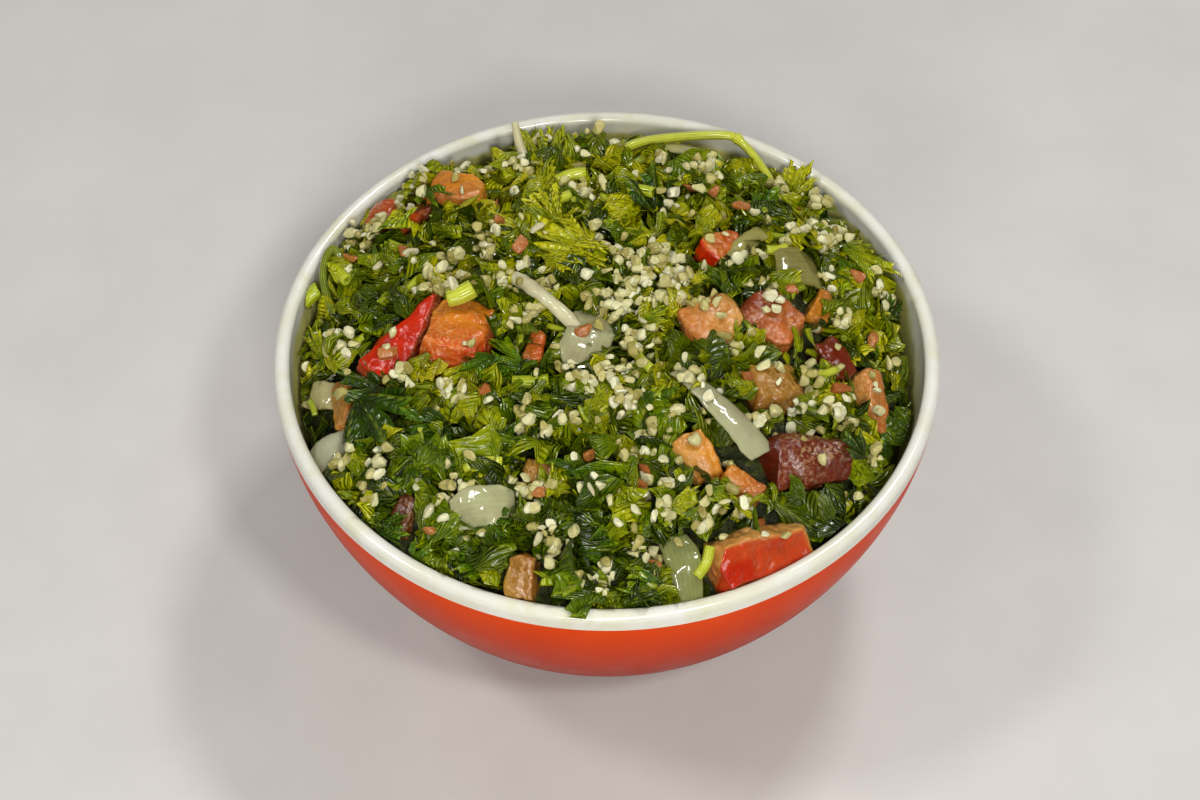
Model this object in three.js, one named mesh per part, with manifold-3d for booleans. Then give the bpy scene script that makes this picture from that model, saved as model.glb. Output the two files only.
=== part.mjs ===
// Tabbouleh salad heaped in a round bowl: chopped parsley and bulgur as one uneven heap, with the diced
// tomato, the sliced onion, a stem and the larger leaves as solids of their own that lie in or on it.
// Lengths are millimetres and angles degrees. +Z is up, -Y is the side towards the diner, and the origin is
// the middle of the underside of the bowl's foot.
import * as THREE from "three";
import { mergeVertices } from "three/addons/utils/BufferGeometryUtils.js";
import Module from "manifold-3d";

const wasm = await Module();
wasm.setup();
const { seededRandom, lerp, clamp, degToRad, radToDeg, smoothstep } = THREE.MathUtils;

// Driving dimensions of the bowl
const RIM_RADIUS = 72.5;
const BOWL_HEIGHT = 64;
const WALL = 3.4;
const LIP_RISE = 1.6; // from the rim's widest circle to its top
const FLOOR_TOP = 6.2; // height of the bowl's inner floor
const FOOT_RADIUS = 35;
const FOOT_WIDTH = 3.5;
const FOOT_RECESS = 2.2;
const SIDES = 40; // facets round the bowl and the heap

// Driving dimensions of the heap
const HEAP_RISE = 10; // the middle of the heap above the rim
const HEAP_POWER = 4; // higher is a flatter top with steeper sides

// How far the heap's edge lies below the rim, as [angle from +X, drop]: it is low on the right and reaches
// nearly up to the lip at the back left, at the back right and in front
const EDGE_DROPS = [
  [0, 14],
  [10, 12],
  [20, 4.5],
  [45, 4.5],
  [112, 4.5],
  [124, 5.5],
  [136, 2.8],
  [158, 2.4],
  [170, 8.5],
  [190, 10],
  [230, 3.5],
  [270, 2.5],
  [320, 7.5],
  [345, 14],
  [360, 14],
];
const HEAP_GAP = 0.5; // between the heap's core and the bowl
const GAP = 0.35; // between any two other solids
const CORE_RINGS = 7; // closer together towards the edge
const BUMP = 1; // of the core's surface, up or down

// The small pieces that are fused to the heap, sprigs, shreds of leaf and grains: how many, and as
// [least, most] their sizes, the height of their middles over the core's surface, and their tilt
const SPRIGS = { count: 14, length: [8, 12], lobes: 3, fan: 120, lift: [0.8, 2], tilt: [8, 26] };
const SHREDS = { count: 67, length: [6, 11], width: [2.8, 4.8], lift: [0.4, 1.7], tilt: [10, 34] };
const GRAINS = { count: 36, length: [2.6, 3.6], lift: [0.3, 0.8], tilt: [0, 40] };
const LEAF_THICKNESS = 0.9;
const SEED = 11;
const ATTEMPTS = 12; // places tried for each piece
const HELD = 0.4; // mm3 of a piece that lie in the core
const LEAF_NOTCH = 0.6; // reach of a leaf's notches, as a share of its lobes'
const MERGE = 0.03; // shorter steps in the joined heap's surface are merged
const GOLDEN_ANGLE = 137.508; // between one piece of a spiral and the next
const PIECE_REACH = 0.97; // the outermost piece, as a share of the heap's radius

// Free space between the heap's low edge and the wall, on the right, which no small piece enters: where it
// starts from the axis, its half length along the wall and its height
const CLEARING = { from: 62.1, half: 11.5, floor: 57.6 };

// Diced tomato: name, where it lies, [length, width, height], how it is turned, the share of its width that
// its taper takes, and how far its middle lies under the heap's surface, as a share of its height
const TOMATOES = [
  ["tomato_large_left", [-31.8, -6.2], [17, 15.5, 12], [74, 10, 8], 0.12, 0],
  ["tomato_wedge_left", [-43.2, -5], [25, 11, 8], [48, -4, 26], 0.6, 0],
  ["tomato_back_left", [-33.6, 39.4], [14, 12, 9], [-14, 4, 6], 0.25, 0.05],
  ["tomato_rim_left", [-44, 33], [11.5, 8, 6], [30, 8, -14], 0.3, 0.05],
  ["tomato_seedy_left", [-50.6, 37.4], [9.5, 7, 6], [80, -10, 6], 0.2, 0.05],
  ["tomato_orange_right", [22.4, -2.6], [14, 13, 10], [28, -8, 12], 0.2, 0],
  ["tomato_dark_middle", [34.8, -1.6], [14, 13.5, 10.5], [-38, 8, 12], 0.15, 0],
  ["tomato_dark_right", [49.1, -6], [11.5, 8.5, 7.5], [-48, 0, 8], 0.2, 0.15],
  ["tomato_edge_right", [57.4, -12.6], [15.5, 8, 7], [-66, 4, 0], 0.35, 0.15],
  ["tomato_brown_right", [35.2, -17.8], [13.5, 12.5, 8], [18, 10, -6], 0.2, 0.06],
  ["tomato_maroon_front", [42.2, -34], [20, 13.5, 10], [12, -6, 16], 0.3, 0.04],
  ["tomato_red_front", [31.6, -55.4], [25, 16, 10.5], [26, 3, 14], 0.4, 0.02],
  ["tomato_fleshy_front", [18.8, -37.4], [12, 9.5, 8], [-58, 6, 4], 0.2, 0.05],
  ["tomato_strip_front", [28.6, -42.4], [10.5, 6, 6], [-22, 0, 6], 0.3, 0.2],
  ["tomato_small_back", [24.6, 19.6], [11.5, 8, 8], [46, 8, 12], 0.4, 0],
  ["tomato_sliver_middle", [-15.3, -9.6], [11, 4.8, 5], [82, 6, 0], 0.2, 0.15],
  ["tomato_brown_front", [-12.9, -41.3], [9, 6.4, 5], [-8, 0, 10], 0.3, 0.2],
  ["tomato_rim_front", [-17.3, -62.4], [11.5, 7.2, 7], [82, -10, 0], 0.1, -0.05],
  ["tomato_edge_left", [-56.2, -16], [12.5, 7, 6], [100, 0, -8], 0.25, 0.15],
  ["tomato_deep_left", [-42.9, -46.2], [10.5, 6, 5], [60, 0, 10], 0.2, 0.3],
  ["tomato_orange_edge", [46.4, 6.4], [11.5, 6.2, 5.5], [72, 0, 6], 0.3, 0.15],
];

// Sliced onion: name, where it lies, [length, width, thickness], how it is turned, how far it bends along
// and across itself, and its height over the heap's surface
const ONIONS = [
  ["onion_sliver_middle", [-13.5, 1.4], [25, 3.6, 1.8], [-47, 0, 0], [50, 20], 0.9],
  ["onion_fold_middle", [-4.4, -8.2], [16.5, 10.5, 1.4], [70, -8, 18], [45, 50], 1.3],
  ["onion_long_right", [23.2, -26.6], [27, 8, 1.5], [-48, 0, -10], [30, 45], 1],
  ["onion_square_front", [-25.6, -48.2], [13.5, 8.8, 1.4], [4, 0, 8], [35, 30], 0.9],
  ["onion_petal_front", [15.7, -61], [15, 8, 1.4], [104, -6, 0], [30, 55], 0.8],
  ["onion_clear_right", [42, 15.6], [12, 10, 1.4], [10, 6, 10], [40, 35], 0.8],
  ["onion_sliver_back", [30.2, 20.4], [12.5, 4, 1.5], [48, 0, 12], [30, 20], 1.2],
  ["onion_curl_left", [-58.4, -26.2], [11.5, 7, 1.4], [14, 0, 8], [60, 40], 0.9],
  ["onion_chip_left", [-60.8, -10.8], [8.5, 6.4, 1.4], [-24, 0, 6], [30, 25], 0.9],
  ["onion_slice_back", [20.4, 53], [15, 9, 1.4], [-6, 4, -12], [30, 30], 0.8],
];

// Larger parsley leaves: name, where it lies, [length, width of a single lobe, thickness], how it is
// turned, its lobes, the angle that they fan over, and its height over the heap's surface
const LEAVES = [
  ["leaf_rim_right", [57.4, 21], [16, 5.4, 0.9], [-8, -14, 0], 5, 110, 2],
  ["leaf_smooth_front", [1, -43.4], [19.5, 6.4, 1], [0, 0, 8], 1, 0, 1.6],
  ["leaf_light_middle", [-11, 20.4], [17, 5.8, 0.9], [150, -6, 0], 5, 130, 2.2],
  ["leaf_tuft_back", [-14.2, 54.6], [13, 5, 0.9], [96, -26, 0], 3, 80, 3],
  ["leaf_rim_back", [42.6, 46.8], [13, 6.6, 0.9], [52, -46, 0], 3, 70, 3.4],
  ["leaf_sprig_front", [48.4, -41], [12.5, 4.6, 0.9], [64, -10, 0], 3, 90, 2],
];

// The long stem that arches over the gap behind the heap
const STEM = {
  name: "stem_arch",
  radius: 1.15,
  route: [
    [1.5, 53, 69.2],
    [10.1, 57.4, 69],
    [26.6, 60.2, 67.8],
    [31.6, 57.6, 67.2],
    [36.4, 49.6, 66.2],
    [38.4, 43.4, 66],
  ],
};
const STEM_SIDES = 6;
const STEM_STEPS = 8;

const COLOURS = {
  bowl: 0xc9492f,
  salad: 0x4d6b17,
  tomato: 0xc4502f,
  onion: 0xd5d9ba,
  leaf: 0x5f8a1c,
  stem: 0x8f9a1e,
};

const FINE_FROM = 12.5; // a topping longer than this has more facets
const WELD = 1e-4; // corners closer than this are one
const LIP_Z = BOWL_HEIGHT - LIP_RISE;
const UP = new THREE.Vector3(0, 0, 1);
const between = ([least, most]) => lerp(least, most, seededRandom());

// Solids and geometries

// A closed geometry as a manifold-3d solid, with the triangles that merging flattened left out.
function toSolid(geometry) {
  const bare = geometry.index ? geometry.toNonIndexed() : geometry.clone();
  bare.deleteAttribute("normal");
  bare.deleteAttribute("uv");
  const merged = mergeVertices(bare, WELD);
  const triangles = [];
  for (let i = 0; i < merged.index.count; i += 3) {
    const corners = [0, 1, 2].map((k) => merged.index.getX(i + k));
    if (new Set(corners).size === 3) triangles.push(...corners);
  }
  const vertProperties = merged.attributes.position.array;
  const triVerts = new Uint32Array(triangles);
  return new wasm.Manifold(new wasm.Mesh({ numProp: 3, vertProperties, triVerts }));
}

function toGeometry(solid) {
  const { vertProperties, triVerts } = solid.getMesh();
  return new THREE.BufferGeometry()
    .setAttribute("position", new THREE.BufferAttribute(vertProperties, 3))
    .setIndex(new THREE.BufferAttribute(triVerts, 1));
}

const union = (solids) => solids.reduce((sum, solid) => sum.add(solid));
const volumeOf = (solid) => solid.volume();
const largest = (solid) => solid.decompose().sort((a, b) => volumeOf(b) - volumeOf(a))[0];

// A solid as a named mesh that stands at its own middle.
function meshOf(name, solid, colour, roughness) {
  const geometry = toGeometry(solid);
  geometry.computeBoundingBox();
  const middle = geometry.boundingBox.getCenter(new THREE.Vector3());
  geometry.translate(-middle.x, -middle.y, -middle.z);
  const material = new THREE.MeshStandardMaterial({ color: colour, roughness, metalness: 0 });
  const mesh = new THREE.Mesh(geometry, material);
  mesh.name = name;
  mesh.position.copy(middle);
  return mesh;
}

// The bowl

const outerWall = new THREE.CubicBezierCurve(
  new THREE.Vector2(RIM_RADIUS, LIP_Z),
  new THREE.Vector2(RIM_RADIUS - 0.5, LIP_Z - 26),
  new THREE.Vector2(FOOT_RADIUS + 11, -1.2),
  new THREE.Vector2(FOOT_RADIUS + 1.5, FOOT_RECESS + 0.8),
);
const innerWall = new THREE.CubicBezierCurve(
  new THREE.Vector2(RIM_RADIUS - WALL, LIP_Z),
  new THREE.Vector2(RIM_RADIUS - WALL - 0.5, LIP_Z - 24),
  new THREE.Vector2(43, FLOOR_TOP - 1.8),
  new THREE.Vector2(28, FLOOR_TOP),
);
const OUTER_STEPS = 7;
const INNER_STEPS = 5;
const LIP_STEPS = 4;
const innerPoints = innerWall.getPoints(INNER_STEPS);

// The bowl's radius inside at a height, along the straight lines between its profile's points.
function wallRadius(z) {
  const next = innerPoints.findIndex((p) => p.y <= z);
  if (next <= 0) return next === 0 ? innerPoints[0].x : innerPoints.at(-1).x;
  const [high, low] = [innerPoints[next - 1], innerPoints[next]];
  return lerp(low.x, high.x, (z - low.y) / (high.y - low.y));
}

// The bowl's profile from the axis, under the foot, up the outside, over the lip and down to the floor.
// With grow above 0 the inside and the lip stand that much prouder, as the room that food keeps from them.
function bowlProfile(grow) {
  const foot = [
    new THREE.Vector2(0, FOOT_RECESS),
    new THREE.Vector2(FOOT_RADIUS - FOOT_WIDTH - 1, FOOT_RECESS),
    new THREE.Vector2(FOOT_RADIUS - FOOT_WIDTH, 0),
    new THREE.Vector2(FOOT_RADIUS, 0),
    new THREE.Vector2(FOOT_RADIUS + 0.9, 0.9),
  ];
  const lipMiddle = RIM_RADIUS - WALL / 2;
  const lip = new THREE.EllipseCurve(lipMiddle, LIP_Z, WALL / 2 + grow, LIP_RISE + grow, 0, Math.PI);
  const inside = innerPoints.slice(1).map((p) => new THREE.Vector2(p.x - grow, p.y + grow));
  return [
    ...foot,
    ...outerWall.getPoints(OUTER_STEPS).reverse().slice(0, -1),
    ...lip.getPoints(LIP_STEPS),
    ...inside,
    new THREE.Vector2(0, FLOOR_TOP + grow),
  ];
}

function bowlSolid(grow) {
  return toSolid(new THREE.LatheGeometry(bowlProfile(grow), SIDES).rotateX(Math.PI / 2));
}

// The heap's surface

// How far the heap's edge lies below the rim at an angle from +X.
function edgeDrop(angle) {
  const turn = (radToDeg(angle) + 360) % 360;
  const next = EDGE_DROPS.findIndex(([from]) => from > turn);
  const [[from, before], [to, after]] = [EDGE_DROPS[next - 1], EDGE_DROPS[next]];
  return lerp(before, after, smoothstep(turn, from, to));
}

const edgeRadius = (angle) => wallRadius(BOWL_HEIGHT - edgeDrop(angle)) - HEAP_GAP;

function heapHeight(x, y) {
  const angle = Math.atan2(y, x);
  const share = clamp(Math.hypot(x, y) / edgeRadius(angle), 0, 1) ** HEAP_POWER;
  return BOWL_HEIGHT + HEAP_RISE * (1 - share) - edgeDrop(angle) * share;
}

// The core's own height: the heap with bumps that die away towards its edge.
function coreHeight(x, y) {
  const share = Math.hypot(x, y) / edgeRadius(Math.atan2(y, x));
  const wave = Math.sin(x / 2.2 + 1.4 * Math.sin(y / 3.9)) * Math.cos(y / 2.4 + Math.sin(x / 5.3));
  return heapHeight(x, y) + BUMP * wave * (1 - clamp(share, 0, 1) ** 6);
}

function heapNormal(x, y) {
  const step = 0.5;
  const slopeX = (heapHeight(x + step, y) - heapHeight(x - step, y)) / (2 * step);
  const slopeY = (heapHeight(x, y + step) - heapHeight(x, y - step)) / (2 * step);
  return new THREE.Vector3(-slopeX, -slopeY, 1).normalize();
}

// The heap's core: rings of points over its top and down the bowl's wall, with a point at each end.
function coreSolid() {
  const rings = [];
  for (let ring = 1; ring <= CORE_RINGS; ring++) {
    rings.push((angle) => {
      const radius = edgeRadius(angle) * (1 - (1 - ring / CORE_RINGS) ** 1.3);
      return [radius, coreHeight(radius * Math.cos(angle), radius * Math.sin(angle))];
    });
  }
  for (const { x, y } of innerPoints.slice(1)) rings.push(() => [x - HEAP_GAP, y + HEAP_GAP]);

  const positions = [0, 0, coreHeight(0, 0)];
  for (const ring of rings) {
    for (let side = 0; side < SIDES; side++) {
      const angle = (2 * Math.PI * side) / SIDES;
      const [radius, height] = ring(angle);
      positions.push(radius * Math.cos(angle), radius * Math.sin(angle), height);
    }
  }
  positions.push(0, 0, FLOOR_TOP + HEAP_GAP);

  const at = (ring, side) => 1 + ring * SIDES + (side % SIDES);
  const last = positions.length / 3 - 1;
  const indices = [];
  for (let side = 0; side < SIDES; side++) {
    indices.push(0, at(0, side), at(0, side + 1));
    indices.push(last, at(rings.length - 1, side + 1), at(rings.length - 1, side));
    for (let ring = 0; ring < rings.length - 1; ring++) {
      const [a, b, c, d] = [at(ring, side), at(ring + 1, side), at(ring + 1, side + 1), at(ring, side + 1)];
      indices.push(a, b, c, a, c, d);
    }
  }
  const geometry = new THREE.BufferGeometry().setIndex(indices);
  return toSolid(geometry.setAttribute("position", new THREE.Float32BufferAttribute(positions, 3)));
}

// Shapes of the pieces, each made round its own origin and lying flat

// A thin closed sheet. middle(u, v) is its middle surface, with u and v from 0 to 1 along and across it.
// Both faces are split into triangles alike.
function sheet(along, across, thickness, middle) {
  const positions = [];
  for (const side of [thickness / 2, -thickness / 2]) {
    for (let i = 0; i <= along; i++) {
      for (let j = 0; j <= across; j++) {
        const [x, y, z] = middle(i / along, j / across);
        positions.push(x, y, z + side);
      }
    }
  }
  const under = (along + 1) * (across + 1);
  const at = (i, j) => i * (across + 1) + j;
  const indices = [];
  for (let i = 0; i < along; i++) {
    for (let j = 0; j < across; j++) {
      const [a, b, c, d] = [at(i, j), at(i + 1, j), at(i + 1, j + 1), at(i, j + 1)];
      indices.push(a, b, c, a, c, d);
      indices.push(a + under, c + under, b + under, a + under, d + under, c + under);
    }
  }
  const edge = [];
  for (let i = 0; i < along; i++) edge.push(at(i, 0));
  for (let j = 0; j < across; j++) edge.push(at(along, j));
  for (let i = along; i > 0; i--) edge.push(at(i, across));
  for (let j = across; j > 0; j--) edge.push(at(0, j));
  edge.forEach((a, k) => {
    const b = edge[(k + 1) % edge.length];
    indices.push(a + under, b + under, b, a + under, b, a);
  });
  const geometry = new THREE.BufferGeometry().setIndex(indices);
  return geometry.setAttribute("position", new THREE.Float32BufferAttribute(positions, 3));
}

// A strip of leaf, widest past its middle, creased along the midrib and wavy at its margins.
function leafStrip(length, width, thickness, { steps, across, wave, crease }) {
  return sheet(steps, across, thickness, (u, v) => {
    const side = 2 * v - 1;
    const broad = Math.sin(Math.PI * clamp(u, 0.06, 0.94) ** 1.15) ** 0.8;
    const x = (u - 0.5) * length;
    const y = (side * width * broad) / 2;
    const z = crease * Math.abs(side) + wave * Math.sin(7 * u + 2.5 * side);
    return [x, y, z];
  });
}

// A lobed leaf: a sheet that fans out from its stalk, with a fold in each notch between its lobes.
function fanLeaf(length, thickness, lobes, fan, steps) {
  return sheet(steps, 2 * lobes, thickness, (u, v) => {
    const side = 2 * v - 1;
    const lobe = Math.abs(Math.sin(Math.PI * lobes * v));
    const tip = (LEAF_NOTCH + (1 - LEAF_NOTCH) * lobe ** 0.7) * (1 - 0.25 * side ** 2);
    const reach = length * lerp(0.14, tip, u);
    const angle = degToRad((fan / 2) * side);
    const z = length * u * (0.09 * lobe + 0.05 * Math.sin(4 * u + 5 * side));
    return [reach * Math.cos(angle) - length / 2, reach * Math.sin(angle), z];
  });
}

// A leaf of one lobe is a strip of its width, and one of more lobes is a fan.
function largeLeaf([length, width, thickness], lobes, fan, grow) {
  if (lobes > 1) return fanLeaf(length + 2 * grow, thickness + 2 * grow, lobes, fan, 2);
  const shape = { steps: 5, across: 2, wave: 0.5, crease: 0.8 };
  return leafStrip(length + 2 * grow, width + 2 * grow, thickness + 2 * grow, shape);
}

// A slice of onion, arched along and across itself so that it stands on its ends, which are blunt.
function onionPiece([length, width, thickness], [bendAlong, bendAcross], grow) {
  const alongRadius = length / degToRad(bendAlong);
  const acrossRadius = width / degToRad(bendAcross);
  const steps = length > FINE_FROM ? [4, 3] : [3, 2];
  return sheet(...steps, thickness + 2 * grow, (u, v) => {
    const s = (u - 0.5) * (length + 2 * grow);
    const t = (v - 0.5) * (width + 2 * grow) * (1 - 0.5 * Math.abs(2 * u - 1) ** 3);
    const arch = alongRadius * (Math.cos(s / alongRadius) - Math.cos(degToRad(bendAlong / 2)));
    const ridge = acrossRadius * (Math.cos(t / acrossRadius) - Math.cos(degToRad(bendAcross / 2)));
    const [x, y] = [alongRadius * Math.sin(s / alongRadius), acrossRadius * Math.sin(t / acrossRadius)];
    return [x, y, arch + ridge];
  });
}

// A dice of tomato: a block with rounded corners, tapered and made uneven by its own seed.
function tomatoPiece([length, width, height], taper, seed, grow) {
  const steps = length > FINE_FROM ? [3, 3, 2] : [2, 2, 2];
  const block = new THREE.BoxGeometry(1, 1, 1, ...steps);
  block.deleteAttribute("normal");
  block.deleteAttribute("uv");
  const dice = mergeVertices(block);
  const points = dice.attributes.position;
  const corner = new THREE.Vector3();
  seededRandom(seed);
  for (let i = 0; i < points.count; i++) {
    corner.fromBufferAttribute(points, i);
    const norm = (2 * corner.x) ** 4 + (2 * corner.y) ** 4 + (2 * corner.z) ** 4;
    corner.multiplyScalar(norm ** -0.2);
    corner.y *= 1 - taper * (corner.x + 0.5);
    corner.z *= 1 - 0.4 * taper * (corner.x + 0.5);
    corner.x += between([-0.05, 0.05]);
    corner.y += between([-0.05, 0.05]);
    corner.z += between([-0.05, 0.05]);
    points.setXYZ(i, corner.x, corner.y, corner.z);
  }
  return dice.scale(length + 2 * grow, width + 2 * grow, height + 2 * grow);
}

function stemPiece({ radius, route }, grow) {
  const path = new THREE.CatmullRomCurve3(route.map((p) => new THREE.Vector3(...p)));
  const section = new THREE.Shape();
  for (let side = 0; side < STEM_SIDES; side++) {
    const angle = (2 * Math.PI * side) / STEM_SIDES;
    const [x, y] = [(radius + grow) * Math.cos(angle), (radius + grow) * Math.sin(angle)];
    if (side === 0) section.moveTo(x, y);
    else section.lineTo(x, y);
  }
  return new THREE.ExtrudeGeometry(section, { steps: STEM_STEPS, bevelEnabled: false, extrudePath: path });
}

// Placing

// The matrix that lays a piece on the heap: turn is [about the heap's normal, nose up or down, sideways].
function onHeap([x, y], lift, [yaw, pitch, roll]) {
  const lean = new THREE.Quaternion().setFromUnitVectors(UP, heapNormal(x, y));
  const own = new THREE.Euler(degToRad(roll), degToRad(pitch), degToRad(yaw), "ZYX");
  const turn = lean.multiply(new THREE.Quaternion().setFromEuler(own));
  const place = new THREE.Vector3(x, y, coreHeight(x, y)).addScaledVector(heapNormal(x, y), lift);
  return new THREE.Matrix4().compose(place, turn, new THREE.Vector3(1, 1, 1));
}

const placed = (piece, matrix) => toSolid(piece.applyMatrix4(matrix));

// The toppings as {name, kind, make}, where make(grow) is the solid, or with GAP the hollow that it needs.
function toppings() {
  const tomato = ([name, at, size, turn, taper, sink], seed) => ({
    name,
    kind: "tomato",
    make: (grow) => placed(tomatoPiece(size, taper, seed + 1, grow), onHeap(at, -sink * size[2], turn)),
  });
  const onion = ([name, at, size, turn, bend, lift]) => ({
    name,
    kind: "onion",
    make: (grow) => placed(onionPiece(size, bend, grow), onHeap(at, lift, turn)),
  });
  const leaf = ([name, at, size, turn, lobes, fan, lift]) => ({
    name,
    kind: "leaf",
    make: (grow) => placed(largeLeaf(size, lobes, fan, grow), onHeap(at, lift, turn)),
  });
  const stem = { name: STEM.name, kind: "stem", make: (grow) => toSolid(stemPiece(STEM, grow)) };
  return [...TOMATOES.map(tomato), ...ONIONS.map(onion), stem, ...LEAVES.map(leaf)];
}

// Point number i of n on a spiral that covers the heap evenly, moved a little at random.
function spiralPoint(i, n, offset, attempt) {
  const spread = 1 + 2 * attempt;
  const angle = degToRad(GOLDEN_ANGLE * i + offset);
  const radius = (PIECE_REACH - 0.015 * attempt) * Math.sqrt((i + 0.5) / n) * edgeRadius(angle);
  const [x, y] = [radius * Math.cos(angle), radius * Math.sin(angle)];
  return [x + between([-spread, spread]), y + between([-spread, spread])];
}

function clearingSolid({ from, half, floor }) {
  const top = BOWL_HEIGHT + HEAP_RISE;
  const box = new THREE.BoxGeometry(RIM_RADIUS - from, 2 * half, top - floor);
  return toSolid(box.translate((RIM_RADIUS + from) / 2, 0, (top + floor) / 2));
}

// The small pieces, largest first, each as a function that draws a new one.
const sprig = () => fanLeaf(between(SPRIGS.length), LEAF_THICKNESS, SPRIGS.lobes, SPRIGS.fan, 1);
const shred = () => {
  const shape = { steps: 2, across: 1, wave: between([0.2, 0.6]), crease: 0 };
  return leafStrip(between(SHREDS.length), between(SHREDS.width), LEAF_THICKNESS, shape);
};
const grain = () => {
  const length = between(GRAINS.length);
  return new THREE.IcosahedronGeometry(0.5, 0).scale(length, 0.72 * length, 0.62 * length);
};

// Scatters pieces over the core and returns the core with them. A piece that would cross what is taken,
// or would hardly touch the core, is moved a little, and left out where no place is found near by.
function scatter(core, taken, { count, lift, tilt }, offset, draw) {
  const pieces = [core];
  for (let i = 0; i < count; i++) {
    for (let attempt = 0; attempt < ATTEMPTS; attempt++) {
      const turn = [between([0, 360]), between(tilt), between([-tilt[1], tilt[1]])];
      const piece = placed(draw(), onHeap(spiralPoint(i, count, offset, attempt), between(lift), turn));
      if (piece.intersect(taken).isEmpty() && volumeOf(piece.intersect(core)) > HELD) {
        pieces.push(piece);
        break;
      }
    }
  }
  return union(pieces);
}

// The assembly

const bowl = bowlSolid(0);
const bowlRoom = bowlSolid(GAP);
const salad = new THREE.Group();
salad.add(meshOf("bowl", bowl, COLOURS.bowl, 0.25));

// Each topping gives way to the bowl and to the toppings before it.
let taken = bowlRoom;
const groups = {
  tomato: new THREE.Group(),
  onion: new THREE.Group(),
  leaf: new THREE.Group(),
  stem: new THREE.Group(),
};
for (const { name, kind, make } of toppings()) {
  const solid = largest(make(0).subtract(taken));
  groups[kind].add(meshOf(name, solid, COLOURS[kind], kind === "tomato" ? 0.3 : 0.45));
  taken = taken.add(make(GAP));
}
salad.add(...Object.values(groups));

// The heap's core gives way to the toppings and the clearing, and the small pieces keep clear of them.
seededRandom(SEED);
taken = taken.add(clearingSolid(CLEARING));
let heap = coreSolid().subtract(taken);
heap = scatter(heap, taken, SPRIGS, 40, sprig);
heap = scatter(heap, taken, SHREDS, 0, shred);
heap = scatter(heap, taken, GRAINS, 77, grain);
salad.add(meshOf("salad_heap", largest(heap.simplify(MERGE)), COLOURS.salad, 0.5));

export default salad;
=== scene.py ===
# Tabbouleh salad in a coral bowl. Sizes are millimetres until a mesh is made, which is in metres. Lights
# are placed in metres.
import math

import bmesh
import bpy
import numpy as np
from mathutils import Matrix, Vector, noise
from mathutils.bvhtree import BVHTree


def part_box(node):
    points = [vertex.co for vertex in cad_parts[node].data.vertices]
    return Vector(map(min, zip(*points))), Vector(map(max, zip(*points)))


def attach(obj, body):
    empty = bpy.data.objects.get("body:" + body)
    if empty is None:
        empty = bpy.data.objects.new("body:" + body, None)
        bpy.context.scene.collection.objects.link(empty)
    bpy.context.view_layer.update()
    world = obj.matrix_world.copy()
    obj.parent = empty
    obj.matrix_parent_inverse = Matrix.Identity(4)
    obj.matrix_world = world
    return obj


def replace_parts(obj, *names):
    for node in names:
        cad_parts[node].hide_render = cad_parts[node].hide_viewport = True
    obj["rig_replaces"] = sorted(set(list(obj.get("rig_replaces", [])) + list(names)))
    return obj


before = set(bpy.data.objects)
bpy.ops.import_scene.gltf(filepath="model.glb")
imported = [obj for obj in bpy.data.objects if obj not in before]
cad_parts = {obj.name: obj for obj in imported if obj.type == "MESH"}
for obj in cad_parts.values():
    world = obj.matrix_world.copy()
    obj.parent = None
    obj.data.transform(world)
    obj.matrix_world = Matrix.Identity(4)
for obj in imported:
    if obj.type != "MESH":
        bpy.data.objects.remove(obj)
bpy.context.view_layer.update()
MM = 0.001
VERTEX_DATA = "look"  # the name of the values that vertices carry for the materials
SEED = 20
rng = np.random.default_rng(SEED)

# The bowl and the heap, with the same values as the solids
RIM_RADIUS = 72.5
BOWL_HEIGHT = 64.0
WALL = 3.4
LIP_RISE = 1.6
LIP_Z = BOWL_HEIGHT - LIP_RISE
FLOOR_TOP = 6.2
FOOT_RADIUS = 35.0
FOOT_WIDTH = 3.5
FOOT_RECESS = 2.2
HEAP_RISE = 10.0
HEAP_POWER = 4.0
# How far the heap's edge lies below the rim: angle from +X, and drop
EDGE_DROPS = [
    (0, 14), (10, 12), (20, 4.5), (45, 4.5), (112, 4.5), (124, 5.5), (136, 2.8), (158, 2.4), (170, 8.5),
    (190, 10), (230, 3.5), (270, 2.5), (320, 7.5), (345, 14), (360, 14),
]
HEAP_GAP = 0.5

# Camera: an 85 mm lens on a 36 mm sensor, which looks down on the bowl
LENS = 85.0
SENSOR = 36.0
CAMERA_AT = (-1.52, -399.06, 534.84)
LOOKS_DOWN = math.radians(50.82)

# How fine the meshes are
OUTER_STEPS, LIP_STEPS, LINING_STEPS = 60, 21, 36  # of the bowl's profile
BOWL_COLUMNS = 220
CORE_COLUMNS, CORE_RINGS = 230, 84
SHEET_ROWS, SHEET_COLUMNS = 44, 26  # of a slice of onion
STEM_STEPS = 60
VOXEL = 0.4  # of the fine copies of the tomatoes, and how uneven they are
SMOOTHING = 6
UNEVEN = 0.5
UNEVEN_WIDTH = 4.0

# The loose pieces
LUMP = 11.0  # width of the lumps of loose pieces
LUMP_RISE = 2.2
BANK = 3.5  # how far from a tomato they are banked up against it
BACK_FALL = 5.0  # how much lower they lie along the back edge
BACK_GAP = 0.03  # and how far they keep from it, as a share of its radius
PATCH = 15.0  # width of the patches of dark and light leaf
PATCH_CONTRAST = 1.1
BACK_PAINTED_LIGHT = 0.009  # how much lighter the leaves get, per millimetre towards the back: painted light
GAP_WIDTH = 5.0
GAP_BELOW = -0.3
CORE_BUMP, CORE_BUMP_WIDTH = 1.5, 4.2
CORE_SINK, CORE_UNDER = 2.4, 0.8  # how far the core lies under the pieces in the middle, and at the edge
FRONT_RISE = 1.4  # of the loose pieces along the front edge
NESTLE = 0.42  # how far up a tomato the loose pieces reach
MOST_COVERED, MOST_BY_STALK = 0.15, 0.1  # of a loose piece, or of a small stalk, may lie over a topping
STALK_COUNT = 80
RANDOM_CLUSTERS = 56
SINGLE_GRAINS = 170
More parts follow.
